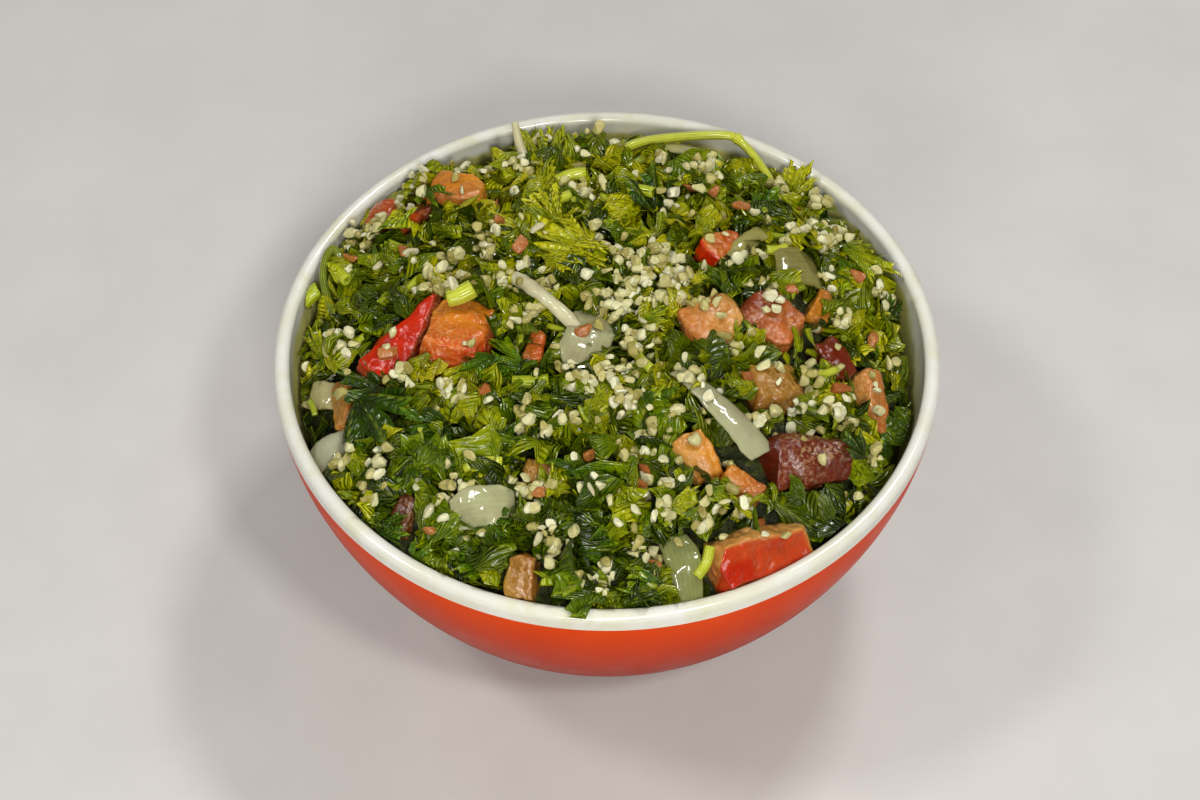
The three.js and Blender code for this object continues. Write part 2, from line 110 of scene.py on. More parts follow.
ON_TOPPING = 0.12  # the share of the grains that would fall on a topping which stay there
ON_LEAF = 0.3
SHRED_COUNT = 420
SHRED_CURL = 2.2
CHIP_FLATS = 8
CHIP_CUT = (0.38, 0.8)  # how far out the flats are, as shares of the radius
CLEARANCE = 0.45  # between loose pieces and the bowl's wall
WALL_TOP = BOWL_HEIGHT + 1.2  # pieces over this are clear of the wall
EDGE_REACH, GRAIN_EDGE = 0.99, 0.985  # how far out leaves and grains are scattered, as shares of the radius
DOWN = Vector((0, 0, -1))
DROP_FROM = 100.0
DROP_REACH, GRAIN_REACH = 0.08, 0.06  # metres
# A topping counts as covered from this far over a piece's point to so far below, in metres
COVER_ABOVE, COVER_REACH = 0.0012, 0.007


# ---------------- camera, floor and light

def make_camera():
    data = bpy.data.cameras.new("camera")
    data.lens = LENS
    data.sensor_width = SENSOR
    data.clip_start = 0.01
    camera = bpy.data.objects.new("camera", data)
    camera.location = Vector(CAMERA_AT) * MM
    camera.rotation_euler = (math.pi / 2 - LOOKS_DOWN, 0, 0)
    bpy.context.scene.collection.objects.link(camera)
    bpy.context.scene.camera = camera


# Soft boxes: name, place, width and height, power, colour
LIGHTS = [
    ("key", (0.34, -0.58, 1.02), (0.14, 0.14), 3.9, (1.0, 0.985, 0.95)),
    ("front", (0.08, -0.86, 0.84), (0.16, 0.14), 4.7, (1.0, 0.99, 0.97)),
    ("side", (-0.62, -0.06, 0.96), (0.18, 0.18), 2.7, (1.0, 0.99, 0.97)),
    ("fill", (-0.1, -0.98, 0.46), (0.26, 0.22), 2.9, (0.98, 0.99, 1.0)),
    ("back", (0.34, 0.45, 1.0), (0.2, 0.16), 4.0, (1.0, 1.0, 1.0)),
]
LIGHTS_AIM = Vector((0, 0, 0.06))
FLOOR_HALF = 4000
ROOM_LIGHT = 0.1


def make_lights():
    """Small soft boxes in front of, beside and behind the bowl, and a dim even light from all round."""
    for name, at, size, power, colour in LIGHTS:
        data = bpy.data.lights.new(name, "AREA")
        data.shape = "RECTANGLE"
        data.size, data.size_y = size
        data.energy = power
        data.color = colour
        light = bpy.data.objects.new(name, data)
        light.location = at
        light.rotation_euler = (LIGHTS_AIM - Vector(at)).to_track_quat("-Z", "Y").to_euler()
        bpy.context.scene.collection.objects.link(light)
    world = bpy.data.worlds.new("studio")
    world.use_nodes = True
    background = world.node_tree.nodes["Background"]
    background.inputs["Color"].default_value = (1, 1, 1, 1)
    background.inputs["Strength"].default_value = ROOM_LIGHT
    bpy.context.scene.world = world
    bpy.context.scene.view_settings.view_transform = "Standard"


# ---------------- materials

def rgba(colour):
    """Linear RGBA of a colour given as 0 to 255 in sRGB. A socket and RGBA are left as they are."""
    if isinstance(colour, bpy.types.NodeSocket) or len(colour) == 4:
        return colour
    shares = (c / 255 for c in colour)
    return (*(c / 12.92 if c <= 0.04045 else ((c + 0.055) / 1.055) ** 2.4 for c in shares), 1.0)


def darker(colour, share):
    r, g, b, _ = rgba(colour)
    return (r * share, g * share * 0.8, b * share * 0.8, 1.0)


def between(a, b, share):
    """A colour some of the way from one to another."""
    return tuple(p + (q - p) * share for p, q in zip(rgba(a), rgba(b)))


class Shader:
    """A node material that is built by short calls."""

    def __init__(self, name):
        self.material = bpy.data.materials.new(name)
        self.material.use_nodes = True
        self.nodes = self.material.node_tree.nodes
        self.links = self.material.node_tree.links
        self.bsdf = self.nodes["Principled BSDF"]

    def set(self, node, key, value):
        socket = node.inputs[key]
        if isinstance(value, bpy.types.NodeSocket):
            self.links.new(value, socket)
        else:
            socket.default_value = value

    def node(self, kind, inputs=None, **settings):
        node = self.nodes.new("ShaderNode" + kind)
        for key, value in settings.items():
            setattr(node, key, value)
        for key, value in (inputs or {}).items():
            self.set(node, key, value)
        return node

    def principled(self, **inputs):
        """Sets the sockets of the main shader, and gives the finished material."""
        for key, value in inputs.items():
            self.set(self.bsdf, key.replace("_", " "), value)
        return self.material

    def translucent(self, colour, share):
        through = self.node("BsdfTranslucent", {"Color": colour})
        both = self.node("MixShader", {0: share, 1: self.bsdf.outputs[0], 2: through.outputs[0]})
        self.links.new(both.outputs[0], self.nodes["Material Output"].inputs["Surface"])

    def parts(self):
        """The three values that each vertex of a mesh carries for its material."""
        vector = self.node("Attribute", attribute_name=VERTEX_DATA).outputs["Vector"]
        return self.node("SeparateXYZ", {0: vector}).outputs

    def noise(self, scale, detail, roughness=0.55, distortion=0.0):
        inputs = {"Scale": scale, "Detail": detail, "Roughness": roughness, "Distortion": distortion,
                  "Vector": self.node("TexCoord").outputs["Object"]}
        return self.node("TexNoise", inputs).outputs["Fac"]

    def math(self, operation, a, b=0.0, clamp=False):
        return self.node("Math", {0: a, 1: b}, operation=operation, use_clamp=clamp).outputs[0]

    def times(self, a, b):
        return self.math("MULTIPLY", a, b)

    def minus(self, a, b):
        return self.math("SUBTRACT", a, b)

    def shifted(self, value, noise, amount):
        """A value moved up and down by noise."""
        return self.math("ADD", value, self.times(self.minus(noise, 0.5), amount))

    def spread(self, value, low, high, to_low=0.0, to_high=1.0):
        inputs = {"Value": value, "From Min": low, "From Max": high, "To Min": to_low, "To Max": to_high}
        return self.node("MapRange", inputs, clamp=True).outputs["Result"]

    def mix(self, factor, a, b):
        return self.node("Mix", {0: factor, 6: rgba(a), 7: rgba(b)}, data_type="RGBA").outputs[2]

    def ramp(self, factor, stops):
        node = self.node("ValToRGB", {"Fac": factor})
        elements = node.color_ramp.elements
        while len(elements) < len(stops):
            elements.new(0.5)
        for element, (position, colour) in zip(elements, stops):
            element.position = position
            element.color = rgba(colour)
        return node.outputs["Color"]

    def bump(self, height, distance, strength, normal=None):
        inputs = {"Height": height, "Distance": distance, "Strength": strength}
        if normal:
            inputs["Normal"] = normal
        return self.node("Bump", inputs).outputs["Normal"]


def white_glaze():
    """White glaze, with smears of dressing over the heap's edge, which also stand for a painted green
    reflection of the leaves there.
    """
    s = Shader("glaze_white")
    film = s.parts()[2]
    white = s.ramp(s.noise(55, 4), [(0.3, (222, 221, 212)), (0.7, (229, 228, 220))])
    # partly real dressing, partly a painted green reflection of the leaves near the heap's edge
    smear_and_reflection = s.spread(s.shifted(film, s.noise(95, 4, 0.6, 0.8), 1.1), -0.1, 0.75)
    ripple = s.bump(s.noise(38, 2), 0.0006, 0.35)
    return s.principled(
        Base_Color=s.mix(smear_and_reflection, white, (196, 190, 108)),
        Roughness=s.spread(s.noise(120, 3), 0.3, 0.7, 0.12, 0.2),
        Normal=s.bump(s.noise(700, 2), 0.00003, 0.4, ripple))


def coral_glaze():
    """Coral glaze, painted darker towards the foot as shade, and the foot's bare ring."""
    s = Shader("glaze_coral")
    height, bare, _ = s.parts()
    coral = s.ramp(s.noise(55, 4), [(0.3, (212, 62, 2)), (0.7, (222, 70, 6))])
    speck = s.spread(s.noise(900, 2), 0.71, 0.78)
    coral = s.mix(s.times(speck, 0.35), coral, (150, 40, 22))
    # painted shade: the coral turns darker and deeper towards the foot
    coral = s.mix(s.spread(height, 0.95, 0.45), coral, (158, 34, 0))
    rough = s.math("MAXIMUM", s.spread(s.noise(120, 3), 0.3, 0.7, 0.3, 0.4), s.times(bare, 0.75))
    return s.principled(
        Base_Color=s.mix(bare, coral, (214, 196, 170)), Roughness=rough, IOR=1.2,
        Normal=s.bump(s.noise(38, 2), 0.0006, 0.35), Specular_IOR_Level=0.2)


def leaf_material(name, stops, through, share):
    """A wet leaf. Its vertices carry tone, the number of the lobe across it, and how far out they are."""
    s = Shader(name)
    tone, across, reach = s.parts()
    # painted light: the tone grows lighter towards the leaf's outer edge, as if light shone through it there
    colour = s.ramp(s.shifted(s.shifted(tone, s.noise(330, 3), 0.7), reach, 0.3), stops)
    rib = s.minus(1, s.math("ABSOLUTE", s.minus(s.times(s.math("FRACT", across), 2), 1)))
    veins = s.math("SINE", s.minus(s.times(reach, 40), s.times(rib, 13)))
    lines = s.math("ADD", s.spread(rib, 0.86, 0.98), s.spread(veins, 0.7, 1, 0, 0.35), True)
    colour = s.mix(s.times(lines, 0.5), colour, s.mix(0.5, colour, (190, 208, 30)))
    # painted shade: dark spots standing for shade in the hollows of the leaf's crinkles
    crinkle_shade = s.spread(s.noise(900, 3, 0.6), 0.52, 0.32, 0, 0.45)
    colour = s.mix(crinkle_shade, colour, s.mix(0.7, colour, (16, 28, 0)))
    normal = s.bump(veins, 0.0004, 0.7, s.bump(s.noise(520, 3, 0.6), 0.0011, 0.7))
    s.translucent(s.mix(0.5, colour, through), share)
    return s.principled(
        Base_Color=colour, Roughness=s.spread(s.noise(300, 2), 0.35, 0.65, 0.2, 0.42), IOR=1.4,
        Normal=s.bump(s.spread(rib, 0.8, 1), 0.0003, 0.6, normal), Specular_IOR_Level=0.05,
        Coat_Weight=1.0, Coat_Roughness=0.18, Coat_IOR=1.5,
        Coat_Normal=s.bump(veins, 0.00025, 0.6, s.bump(s.noise(300, 2), 0.0008, 0.7)))


# How each kind of leaf looks: name, colours by tone, the colour that shines through it, and how much of it
LEAF_LOOKS = [
    ("leaf_dark", [(0.0, (20, 34, 0)), (0.35, (56, 74, 0)), (0.7, (98, 112, 1)), (1.0, (134, 142, 3))],
     (60, 96, 4), 0.12),
    ("leaf_mid", [(0.0, (58, 84, 0)), (0.35, (108, 132, 0)), (0.7, (162, 168, 1)), (1.0, (206, 198, 8))],
     (120, 150, 10), 0.2),
    ("leaf_light", [(0.0, (118, 146, 0)), (0.4, (174, 182, 2)), (0.75, (212, 208, 8)),
                    (1.0, (234, 222, 48))], (180, 192, 20), 0.28),
    ("leaf_whole", [(0.0, (22, 42, 1)), (0.25, (48, 80, 0)), (0.5, (88, 130, 2)), (0.75, (156, 174, 2)),
                    (1.0, (216, 212, 26))], (150, 180, 14), 0.22),
]


def stem_material():
    s = Shader("stem")
    tone, across, _ = s.parts()
    colour = s.ramp(s.shifted(tone, s.noise(300, 3), 0.5), [
        (0.0, (74, 96, 6)), (0.4, (130, 144, 8)), (0.7, (164, 176, 16)), (1.0, (200, 204, 64))])
    strands = s.math("SINE", s.times(across, 44))
    colour = s.mix(s.spread(strands, 0.2, 1, 0, 0.3), colour, (206, 204, 96))
    return s.principled(
        Base_Color=colour, Roughness=0.3, Normal=s.bump(strands, 0.00012, 0.5), Specular_IOR_Level=0.25,
        Coat_Weight=0.8, Coat_Roughness=0.06, Coat_IOR=1.45, Subsurface_Weight=0.15,
        Subsurface_Radius=(0.8, 1.0, 0.3), Subsurface_Scale=0.001)


def bulgur_material():
    s = Shader("bulgur")
    colour = s.ramp(s.shifted(s.parts()[0], s.noise(800, 3), 0.5), [
        (0.0, (140, 128, 58)), (0.3, (180, 170, 100)), (0.65, (202, 196, 140)), (1.0, (222, 219, 184))])
    return s.principled(
        Base_Color=colour, Roughness=0.3, Normal=s.bump(s.noise(1500, 3), 0.0003, 0.6),
        Specular_IOR_Level=0.4, Subsurface_Weight=0.3, Subsurface_Radius=(1.0, 0.85, 0.4),
        Subsurface_Scale=0.0008)


def tomato_material(name, flesh, deep, skin):
    """Tomato. Its vertices carry how much of the surface is skin, and how far along one direction of its own
    they lie, where the flesh turns to its deeper colour.
    """
    s = Shader(name)
    skinned, depth, _ = s.parts()
    cloudy = s.noise(160, 4, 0.6, 0.8)
    blend = s.math("MAXIMUM", s.math("MINIMUM", s.shifted(depth, cloudy, 1.5), 1), 0)
    colour = s.mix(blend, flesh, deep)
    grainy = s.times(s.spread(s.noise(1300, 3, 0.6), 0.46, 0.62), s.spread(cloudy, 0.42, 0.62, 0.05, 0.5))
    colour = s.mix(grainy, colour, between(flesh, (244, 210, 150), 0.6))
    colour = s.mix(s.spread(s.noise(240, 3, 0.6), 0.5, 0.75, 0, 0.45), colour, darker(deep, 0.65))
    skin_colour = s.mix(s.spread(cloudy, 0.35, 0.7, 0, 0.7), skin, darker(skin, 0.55))
    rough_flesh = s.bump(s.noise(520, 4, 0.6), 0.0008, 0.7)
    smooth_skin = s.bump(s.noise(90, 2), 0.0005, 0.3)
    normal = s.node("Mix", {0: skinned, 4: rough_flesh, 5: smooth_skin}, data_type="VECTOR").outputs[1]
    wet = s.bump(s.noise(1100, 3, 0.6), 0.0003, 0.7, s.bump(s.noise(200, 2), 0.0008, 0.6))
    return s.principled(
        Base_Color=s.mix(skinned, colour, skin_colour), Roughness=s.spread(skinned, 0, 1, 0.4, 0.22),
        Normal=normal, Specular_IOR_Level=0.1, Coat_Weight=0.9, Coat_Roughness=0.15, Coat_IOR=1.45,
        Coat_Normal=wet, Subsurface_Weight=0.3, Subsurface_Radius=(1.4, 0.7, 0.2), Subsurface_Scale=0.0014)


def onion_material(name, tint, through, share):
    """Wet raw onion with faint veins along it."""
    s = Shader(name)
    veins = s.math("SINE", s.math("ADD", s.times(s.parts()[1], 46), s.times(s.noise(120, 2), 9)))
    colour = s.mix(s.spread(s.noise(210, 3), 0.35, 0.7, 0, 0.5), tint, darker(tint, 0.72))
    colour = s.mix(s.spread(veins, 0.6, 1, 0, 0.16), colour, (240, 238, 196))
    normal = s.bump(s.noise(260, 3), 0.0003, 0.5)
    s.translucent(between(tint, (214, 218, 150), 0.5), share)
    return s.principled(
        Base_Color=colour, Roughness=0.3, Normal=normal, Transmission_Weight=through, IOR=1.36,
        Specular_IOR_Level=0.3, Coat_Weight=1.0, Coat_Roughness=0.04,
        Coat_Normal=s.bump(s.noise(260, 2), 0.00025, 0.4, normal), Subsurface_Weight=0.3,
        Subsurface_Radius=(1.0, 1.0, 0.6), Subsurface_Scale=0.0015)


def core_material():
    s = Shader("heap_core")
    lumps = s.noise(420, 5, 0.7)
    # painted shade: the core is dark down to near black, standing for the heap's shaded depths between the
    # loose pieces
    colour = s.ramp(lumps, [
        (0.3, (16, 16, 1)), (0.48, (38, 44, 3)), (0.62, (66, 74, 8)), (0.75, (120, 116, 40))])
    return s.principled(Base_Color=colour, Roughness=0.35, Normal=s.bump(lumps, 0.002, 0.9))


def floor_material():
    s = Shader("floor")
    colour = s.ramp(s.noise(30, 5), [(0.3, (200, 198, 194)), (0.7, (207, 205, 201))])
    return s.principled(Base_Color=colour, Roughness=0.6)


# ---------------- meshes

def mesh_object(name, vertices, faces, material, data=None, smooth=True):
    """An object from arrays. vertices are millimetres. A corner below 0 is left out of its face."""
    vertices = np.asarray(vertices, np.float32).reshape(-1, 3) * MM
    faces = np.asarray(faces, np.int32)
    sizes = (faces >= 0).sum(1)
    corners = faces[faces >= 0]
    mesh = bpy.data.meshes.new(name)
    mesh.vertices.add(len(vertices))
    mesh.vertices.foreach_set("co", vertices.reshape(-1))
    mesh.loops.add(len(corners))
    mesh.loops.foreach_set("vertex_index", corners)
    mesh.polygons.add(len(faces))
    mesh.polygons.foreach_set("loop_start", (np.cumsum(sizes) - sizes).astype(np.int32))
    mesh.polygons.foreach_set("use_smooth", np.full(len(faces), smooth))
    mesh.update(calc_edges=True)
    mesh.validate()
    if data is not None:
        layer = mesh.attributes.new(VERTEX_DATA, "FLOAT_VECTOR", "POINT")
        layer.data.foreach_set("vector", np.asarray(data, np.float32).reshape(-1))
    piece = bpy.data.objects.new(name, mesh)
    piece.data.materials.append(material)
    bpy.context.scene.collection.objects.link(piece)
    return piece


def stands_for(piece, node):
    """Ties a piece to the body and to the node that it replaces."""
    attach(piece, "root")
    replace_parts(piece, node)
    return piece


def grid_quads(rows, columns, closed=False):
    """Quads between rows + 1 lines of columns + 1 points, or of columns points where the lines close."""
    across = columns if closed else columns + 1
    line, column = np.meshgrid(np.arange(rows) * across, np.arange(columns), indexing="ij")
    after = (column + 1) % across
    quads = [line + column, line + across + column, line + across + after, line + after]
    return np.stack(quads, -1).reshape(-1, 4)


def repeated(faces, vertices_each, count):
    return (faces[None] + np.arange(count)[:, None, None] * vertices_each).reshape(-1, faces.shape[1])


def joined(shapes):
    """Shapes that have the same faces, as one: vertices, data and faces."""
    vertices, data = (np.stack([shape[k] for shape in shapes]) for k in (0, 1))
    return vertices, data, repeated(shapes[0][2], vertices.shape[1], len(shapes))


def round_angles(number):
    return np.arange(number) * 2 * math.pi / number


def ring(radius, angle, height):
    """Points round the middle of the bowl."""
    return np.stack(np.broadcast_arrays(radius * np.cos(angle), radius * np.sin(angle), height), -1)


def noise_at(x, y, width, seed, smoothness, step, octaves):
    """Noise over places, with lumps of one width."""
    return np.array([noise.fractal(Vector((a / width, b / width, seed)), smoothness, step, octaves)
                     for a, b in zip(x, y)])


def bezier(points, steps):
    t = np.linspace(0, 1, steps + 1)[:, None]
    a, b, c, d = np.asarray(points, float)
    return (1 - t) ** 3 * a + 3 * (1 - t) ** 2 * t * b + 3 * (1 - t) * t ** 2 * c + t ** 3 * d


# ---------------- the bowl

INNER_WALL = [(RIM_RADIUS - WALL, LIP_Z), (RIM_RADIUS - WALL - 0.5, LIP_Z - 24), (43, FLOOR_TOP - 1.8),
              (28, FLOOR_TOP)]
OUTER_WALL = [(RIM_RADIUS, LIP_Z), (RIM_RADIUS - 0.5, LIP_Z - 26), (FOOT_RADIUS + 11, -1.2),
              (FOOT_RADIUS + 1.5, FOOT_RECESS + 0.8)]
WHITE_EDGE = 59.9  # the white glaze ends here on the outside
INNER_STEPS = 5  # of the solid's wall
SMEAR_AND_REFLECTION_HEIGHT = 9.0  # of the dressing on the wall, and its painted green reflection of the leaves, above the heap's edge


def bowl_profile():
    """Radius and height of the bowl from under its middle to its floor, and where the white glaze starts."""
    inner = FOOT_RADIUS - FOOT_WIDTH
    foot = [(0, FOOT_RECESS), (inner - 1, FOOT_RECESS), (inner - 0.4, 1.4), (inner, 0.25), (inner + 0.3, 0),
            (FOOT_RADIUS - 0.3, 0), (FOOT_RADIUS, 0.25), (FOOT_RADIUS + 0.5, 1.0), (FOOT_RADIUS + 0.9, 1.9)]
    outer = bezier(OUTER_WALL, OUTER_STEPS)[::-1]
    below, above = outer[outer[:, 1] < WHITE_EDGE], outer[outer[:, 1] > WHITE_EDGE]
    edge = [(np.interp(WHITE_EDGE, outer[:, 1], outer[:, 0]), WHITE_EDGE)]
    angle = np.linspace(0, math.pi, LIP_STEPS + 1)[1:-1]
    middle = RIM_RADIUS - WALL / 2
    lip = np.stack([middle + WALL / 2 * np.cos(angle), LIP_Z + LIP_RISE * np.sin(angle)], -1)
    lining = bezier(INNER_WALL, LINING_STEPS)
    profile = np.concatenate([foot, below, edge, above, lip, lining, [(0, FLOOR_TOP)]])
    return profile, len(foot) + len(below)


def make_bowl():
    """The bowl. Its vertices carry height, how bare the clay is, and how much dressing is smeared there,
    which also stands for a painted green reflection.
    """
    profile, white_from = bowl_profile()
    radius, height = profile.T[:, :, None]
    angle = round_angles(BOWL_COLUMNS)
    points = ring(radius, angle, height)
    coat = np.zeros(points.shape)
    coat[..., 0] = height / BOWL_HEIGHT
    coat[..., 1] = np.clip((0.9 - height) / 0.3, 0, 1)
    coat[..., 2] = np.clip(1 - (height - BOWL_HEIGHT + edge_drop(angle)) / SMEAR_AND_REFLECTION_HEIGHT, 0, 1)
    coat[:-LINING_STEPS, :, 2] = 0
    quads = grid_quads(len(profile) - 1, BOWL_COLUMNS, closed=True)[:, ::-1]
    bowl = mesh_object("bowl_glazed", points, quads, coral_glaze(), coat)
    bowl.data.materials.append(white_glaze())
    white = np.arange(len(quads)) // BOWL_COLUMNS >= white_from
    bowl.data.polygons.foreach_set("material_index", white.astype(np.int32))
    stands_for(bowl, "bowl")


# ---------------- the heap's surface

INNER_POINTS = bezier(INNER_WALL, INNER_STEPS)


def wall_radius(z):
    return np.interp(z, INNER_POINTS[::-1, 1], INNER_POINTS[::-1, 0])


def edge_drop(angle):
    turn = np.degrees(angle) % 360
    at, drops = np.array(EDGE_DROPS, float).T
    k = np.clip(np.searchsorted(at, turn, side="right") - 1, 0, len(at) - 2)
    share = (turn - at[k]) / (at[k + 1] - at[k])
    return drops[k] + (drops[k + 1] - drops[k]) * share ** 2 * (3 - 2 * share)


def edge_radius(angle):
    return wall_radius(BOWL_HEIGHT - edge_drop(angle)) - HEAP_GAP


def edge_share(x, y):
    """How far out a place is, as a share of the heap's edge, and its angle."""
    angle = np.arctan2(y, x)
    return np.hypot(x, y) / edge_radius(angle), angle


def heap_height(x, y):
    share, angle = edge_share(x, y)
    share = np.clip(share, 0, 1) ** HEAP_POWER
    return BOWL_HEIGHT + HEAP_RISE * (1 - share) - edge_drop(angle) * share


def core_height(x, y):
    """The height of the solid's core, with its bumps."""
    wave = np.sin(x / 2.2 + 1.4 * np.sin(y / 3.9)) * np.cos(y / 2.4 + np.sin(x / 5.3))
    return heap_height(x, y) + wave * (1 - np.clip(edge_share(x, y)[0], 0, 1) ** 6)


def heap_normal(x, y):
    step = 0.5
    slope_x = (heap_height(x + step, y) - heap_height(x - step, y)) / (2 * step)
    slope_y = (heap_height(x, y + step) - heap_height(x, y - step)) / (2 * step)
    normal = np.stack([-slope_x, -slope_y, np.ones_like(slope_x)], -1)
    return normal / np.linalg.norm(normal, axis=-1, keepdims=True)


def back_fall(x, y):
    """How much lower the loose heap lies towards the back edge."""
    share, angle = edge_share(x, y)
    return BACK_FALL * share ** 8 * np.maximum(np.sin(angle), 0)


def make_core():
    """The body of the heap, a little under the pieces: rings over its top and down the bowl's wall."""
    angle = round_angles(CORE_COLUMNS)
    rows = []
    for k in range(CORE_RINGS + 1):
        share = 1 - (1 - k / CORE_RINGS) ** 1.15
        radius = edge_radius(angle) * max(share, 0.002)
        x, y = radius * np.cos(angle), radius * np.sin(angle)
        sink = CORE_SINK * (1 - share ** 10) + CORE_UNDER
        bumps = noise_at(x, y, CORE_BUMP_WIDTH, seed=3.1, smoothness=0.7, step=2.1, octaves=4)
        z = heap_height(x, y) - back_fall(x, y) - sink + CORE_BUMP * bumps * (1 - share ** 12)
        inside = np.minimum(1, (wall_radius(z) - HEAP_GAP) / radius)
        rows.append(np.stack([x * inside, y * inside, z], -1))
    rows += [ring(radius - HEAP_GAP, angle, z + HEAP_GAP) for radius, z in INNER_POINTS[1:]]
    rows.append(ring(0.1, angle, FLOOR_TOP + HEAP_GAP))
    quads = grid_quads(len(rows) - 1, CORE_COLUMNS, closed=True)
    stands_for(mesh_object("heap_core", np.stack(rows), quads, core_material()), "salad_heap")


# ---------------- placing

def turns(normal, yaw, pitch, roll):
    """Rotation matrices (n, 3, 3) that lean pieces with the surface and turn them by their own angles."""
    n = len(normal)
    axis = np.cross([0.0, 0.0, 1.0], normal)
    sine = np.linalg.norm(axis, axis=1)
    axis = axis / np.maximum(sine, 1e-9)[:, None]
    angle = np.arctan2(sine, normal[:, 2])
    skew = np.cross(np.eye(3), axis[:, None])
    lean = np.eye(3) + np.sin(angle)[:, None, None] * skew
    lean = lean + (1 - np.cos(angle))[:, None, None] * (skew @ skew)

    def about(axis_index, a):
        c, s = np.cos(a), np.sin(a)
        m = np.zeros((n, 3, 3))
        i, j = [(1, 2), (2, 0), (0, 1)][axis_index]
        m[:, axis_index, axis_index] = 1
        m[:, i, i], m[:, j, j] = c, c
        m[:, i, j], m[:, j, i] = -s, s
        return m

    return lean @ about(2, yaw) @ about(1, pitch) @ about(0, roll)


def on_heap(at, lift, turn):
    """Place and rotation of one piece, by the same rule as the solids."""
    x, y = np.array([float(at[0])]), np.array([float(at[1])])
    normal = heap_normal(x, y)
    yaw, pitch, roll = (np.array([math.radians(a)]) for a in turn)
    rotation = turns(normal, yaw, pitch, roll)[0]
    place = np.array([x[0], y[0], core_height(x, y)[0]]) + normal[0] * lift
    return place, rotation


def scattered(n, reach):
    """Points spread over the heap, out to a share of its edge."""
    angle = rng.uniform(0, 2 * math.pi, n)
    reach = reach - BACK_GAP * np.maximum(np.sin(angle), 0)
    radius = reach * np.sqrt(rng.uniform(0, 1, n)) * edge_radius(angle)
    return radius * np.cos(angle), radius * np.sin(angle)


def topping_spots():
    """Middle, mean radius and rise over the heap of each tomato."""
    spots = []
    for node in TOMATO_LOOKS:
        low, high = (np.array(corner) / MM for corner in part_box(node))
        middle = (low + high) / 2
        radius = (high[:2] - low[:2]).mean() / 2
        spots.append((*middle[:2], radius, high[2] - heap_height(middle[0], middle[1])))
    return np.array(spots)


def tone_patches_and_back_light(x, y):
    """Broad patches of darker and lighter leaf, from 0 to 1, and painted light that makes the leaves lighter
    towards the back.
    """
    tones = noise_at(x, y, PATCH, seed=1.3, smoothness=0.8, step=2.2, octaves=2)
    # painted light: the tone rises towards the back of the heap
    return np.clip(0.5 + PATCH_CONTRAST * tones + BACK_PAINTED_LIGHT * y, 0, 1)


def gaps(x, y):
    """Where the upper pieces leave a dark gap, in which the darker lower leaves stand partly for painted
    shade.
    """
    return noise_at(x, y, GAP_WIDTH, seed=9.1, smoothness=0.8, step=2.2, octaves=2) < GAP_BELOW


def pile(x, y, spots):
    """How high the loose pieces are heaped over the smooth heap: lumps, and a rise against each tomato."""
    away = np.hypot(x[:, None] - spots[:, 0], y[:, None] - spots[:, 1]) - spots[:, 2]
    banked = (NESTLE * spots[:, 3] * np.exp(-(np.maximum(away, 0) / BANK) ** 2)).max(1)
    share, angle = edge_share(x, y)
    front = FRONT_RISE * share ** 10 * np.maximum(-np.sin(angle), 0)
    heaped = LUMP_RISE * noise_at(x, y, LUMP, seed=7.7, smoothness=0.6, step=2.0, octaves=2) + banked
    return heaped * (1 - 0.6 * share ** 8) + front - back_fall(x, y)


# ---------------- leaves

LOBE_EDGE = (0.42, 0.84, 0.76, 1.0, 0.76, 0.84)  # reach round a lobe: sinus, tooth, notch, tip, notch, tooth


def leaf_shapes(n, lobes, rings, length, fan, cuts, curl, crumple, detail, depth):
    """Leaf pieces that lie flat with their stalks towards -x: vertices and data (n, points, 3), and quads.

    A piece fans out from its stalk in lobes with toothed edges. Straight cuts take parts of it off, it is
    folded along its ribs, and then it is crumpled and curled."""
    steps = len(LOBE_EDGE) * detail
    columns = steps * lobes
    v = np.arange(columns + 1)
    side = (2 * v / columns - 1)[None, :, None]
    u = np.linspace(0.06, 1, rings + 1)[None, None, :]
    length = np.broadcast_to(length, n).astype(float)[:, None, None]
    fan = np.broadcast_to(fan, n).astype(float)[:, None, None]
    edge = np.interp(v % steps / detail, np.arange(len(LOBE_EDGE) + 1), [*LOBE_EDGE, LOBE_EDGE[0]])
    edge = 1 - depth * (1 - edge[None, :, None])
    lobe = (1 - np.abs(v % steps / steps * 2 - 1))[None, :, None]
    of_lobe = rng.uniform(0.72, 1.08, (n, lobes + 1, 1))[:, np.minimum(v // steps, lobes)]
    ragged = rng.uniform(1 - 0.08 / detail, 1.04, (n, columns + 1, 1))
    tip = edge * of_lobe * (1 - 0.25 * side ** 2) * ragged
    reach = length * tip * u
    angle = fan / 2 * side + rng.normal(0, 0.1 / lobes, (n, columns + 1, 1)) * u
    x = reach * np.cos(angle) - 0.5 * length
    y = reach * np.sin(angle)
    z = (lobe - 0.5) * reach * varied(-0.4, 0.4, n)
    for _ in range(cuts):
        turn = varied(0, 2 * math.pi, n)
        off = length * varied(0.2, 0.5, n)
        over = np.maximum(x * np.cos(turn) + y * np.sin(turn) - off, 0)
        x = x - over * np.cos(turn)
        y = y - over * np.sin(turn)
    for scale in (4.0, 7.5, 13.0):
        turn, phase = rng.uniform(0, 2 * math.pi, (2, n, 1, 1))
        wave = np.sin((x * np.cos(turn) + y * np.sin(turn)) * scale / length + phase)
        z = z + wave * crumple * 4 / scale * length * varied(0.5, 1.4, n)
    x, z = curled(x, z, curl, length, n)
    y, z = curled(y, z, 0.8 * curl, length, n)
    vertices = np.stack(np.broadcast_arrays(x, y, z), -1).reshape(n, -1, 3)
    across = (v / steps)[None, :, None] + 0 * x
    data = np.stack([0 * x, across, u + 0 * x], -1).reshape(n, -1, 3)
    return vertices, data, grid_quads(columns, rings)


def varied(low, high, n):
    """A random value for each of n pieces, shaped to work on their points."""
    return rng.uniform(low, high, (n, 1, 1))


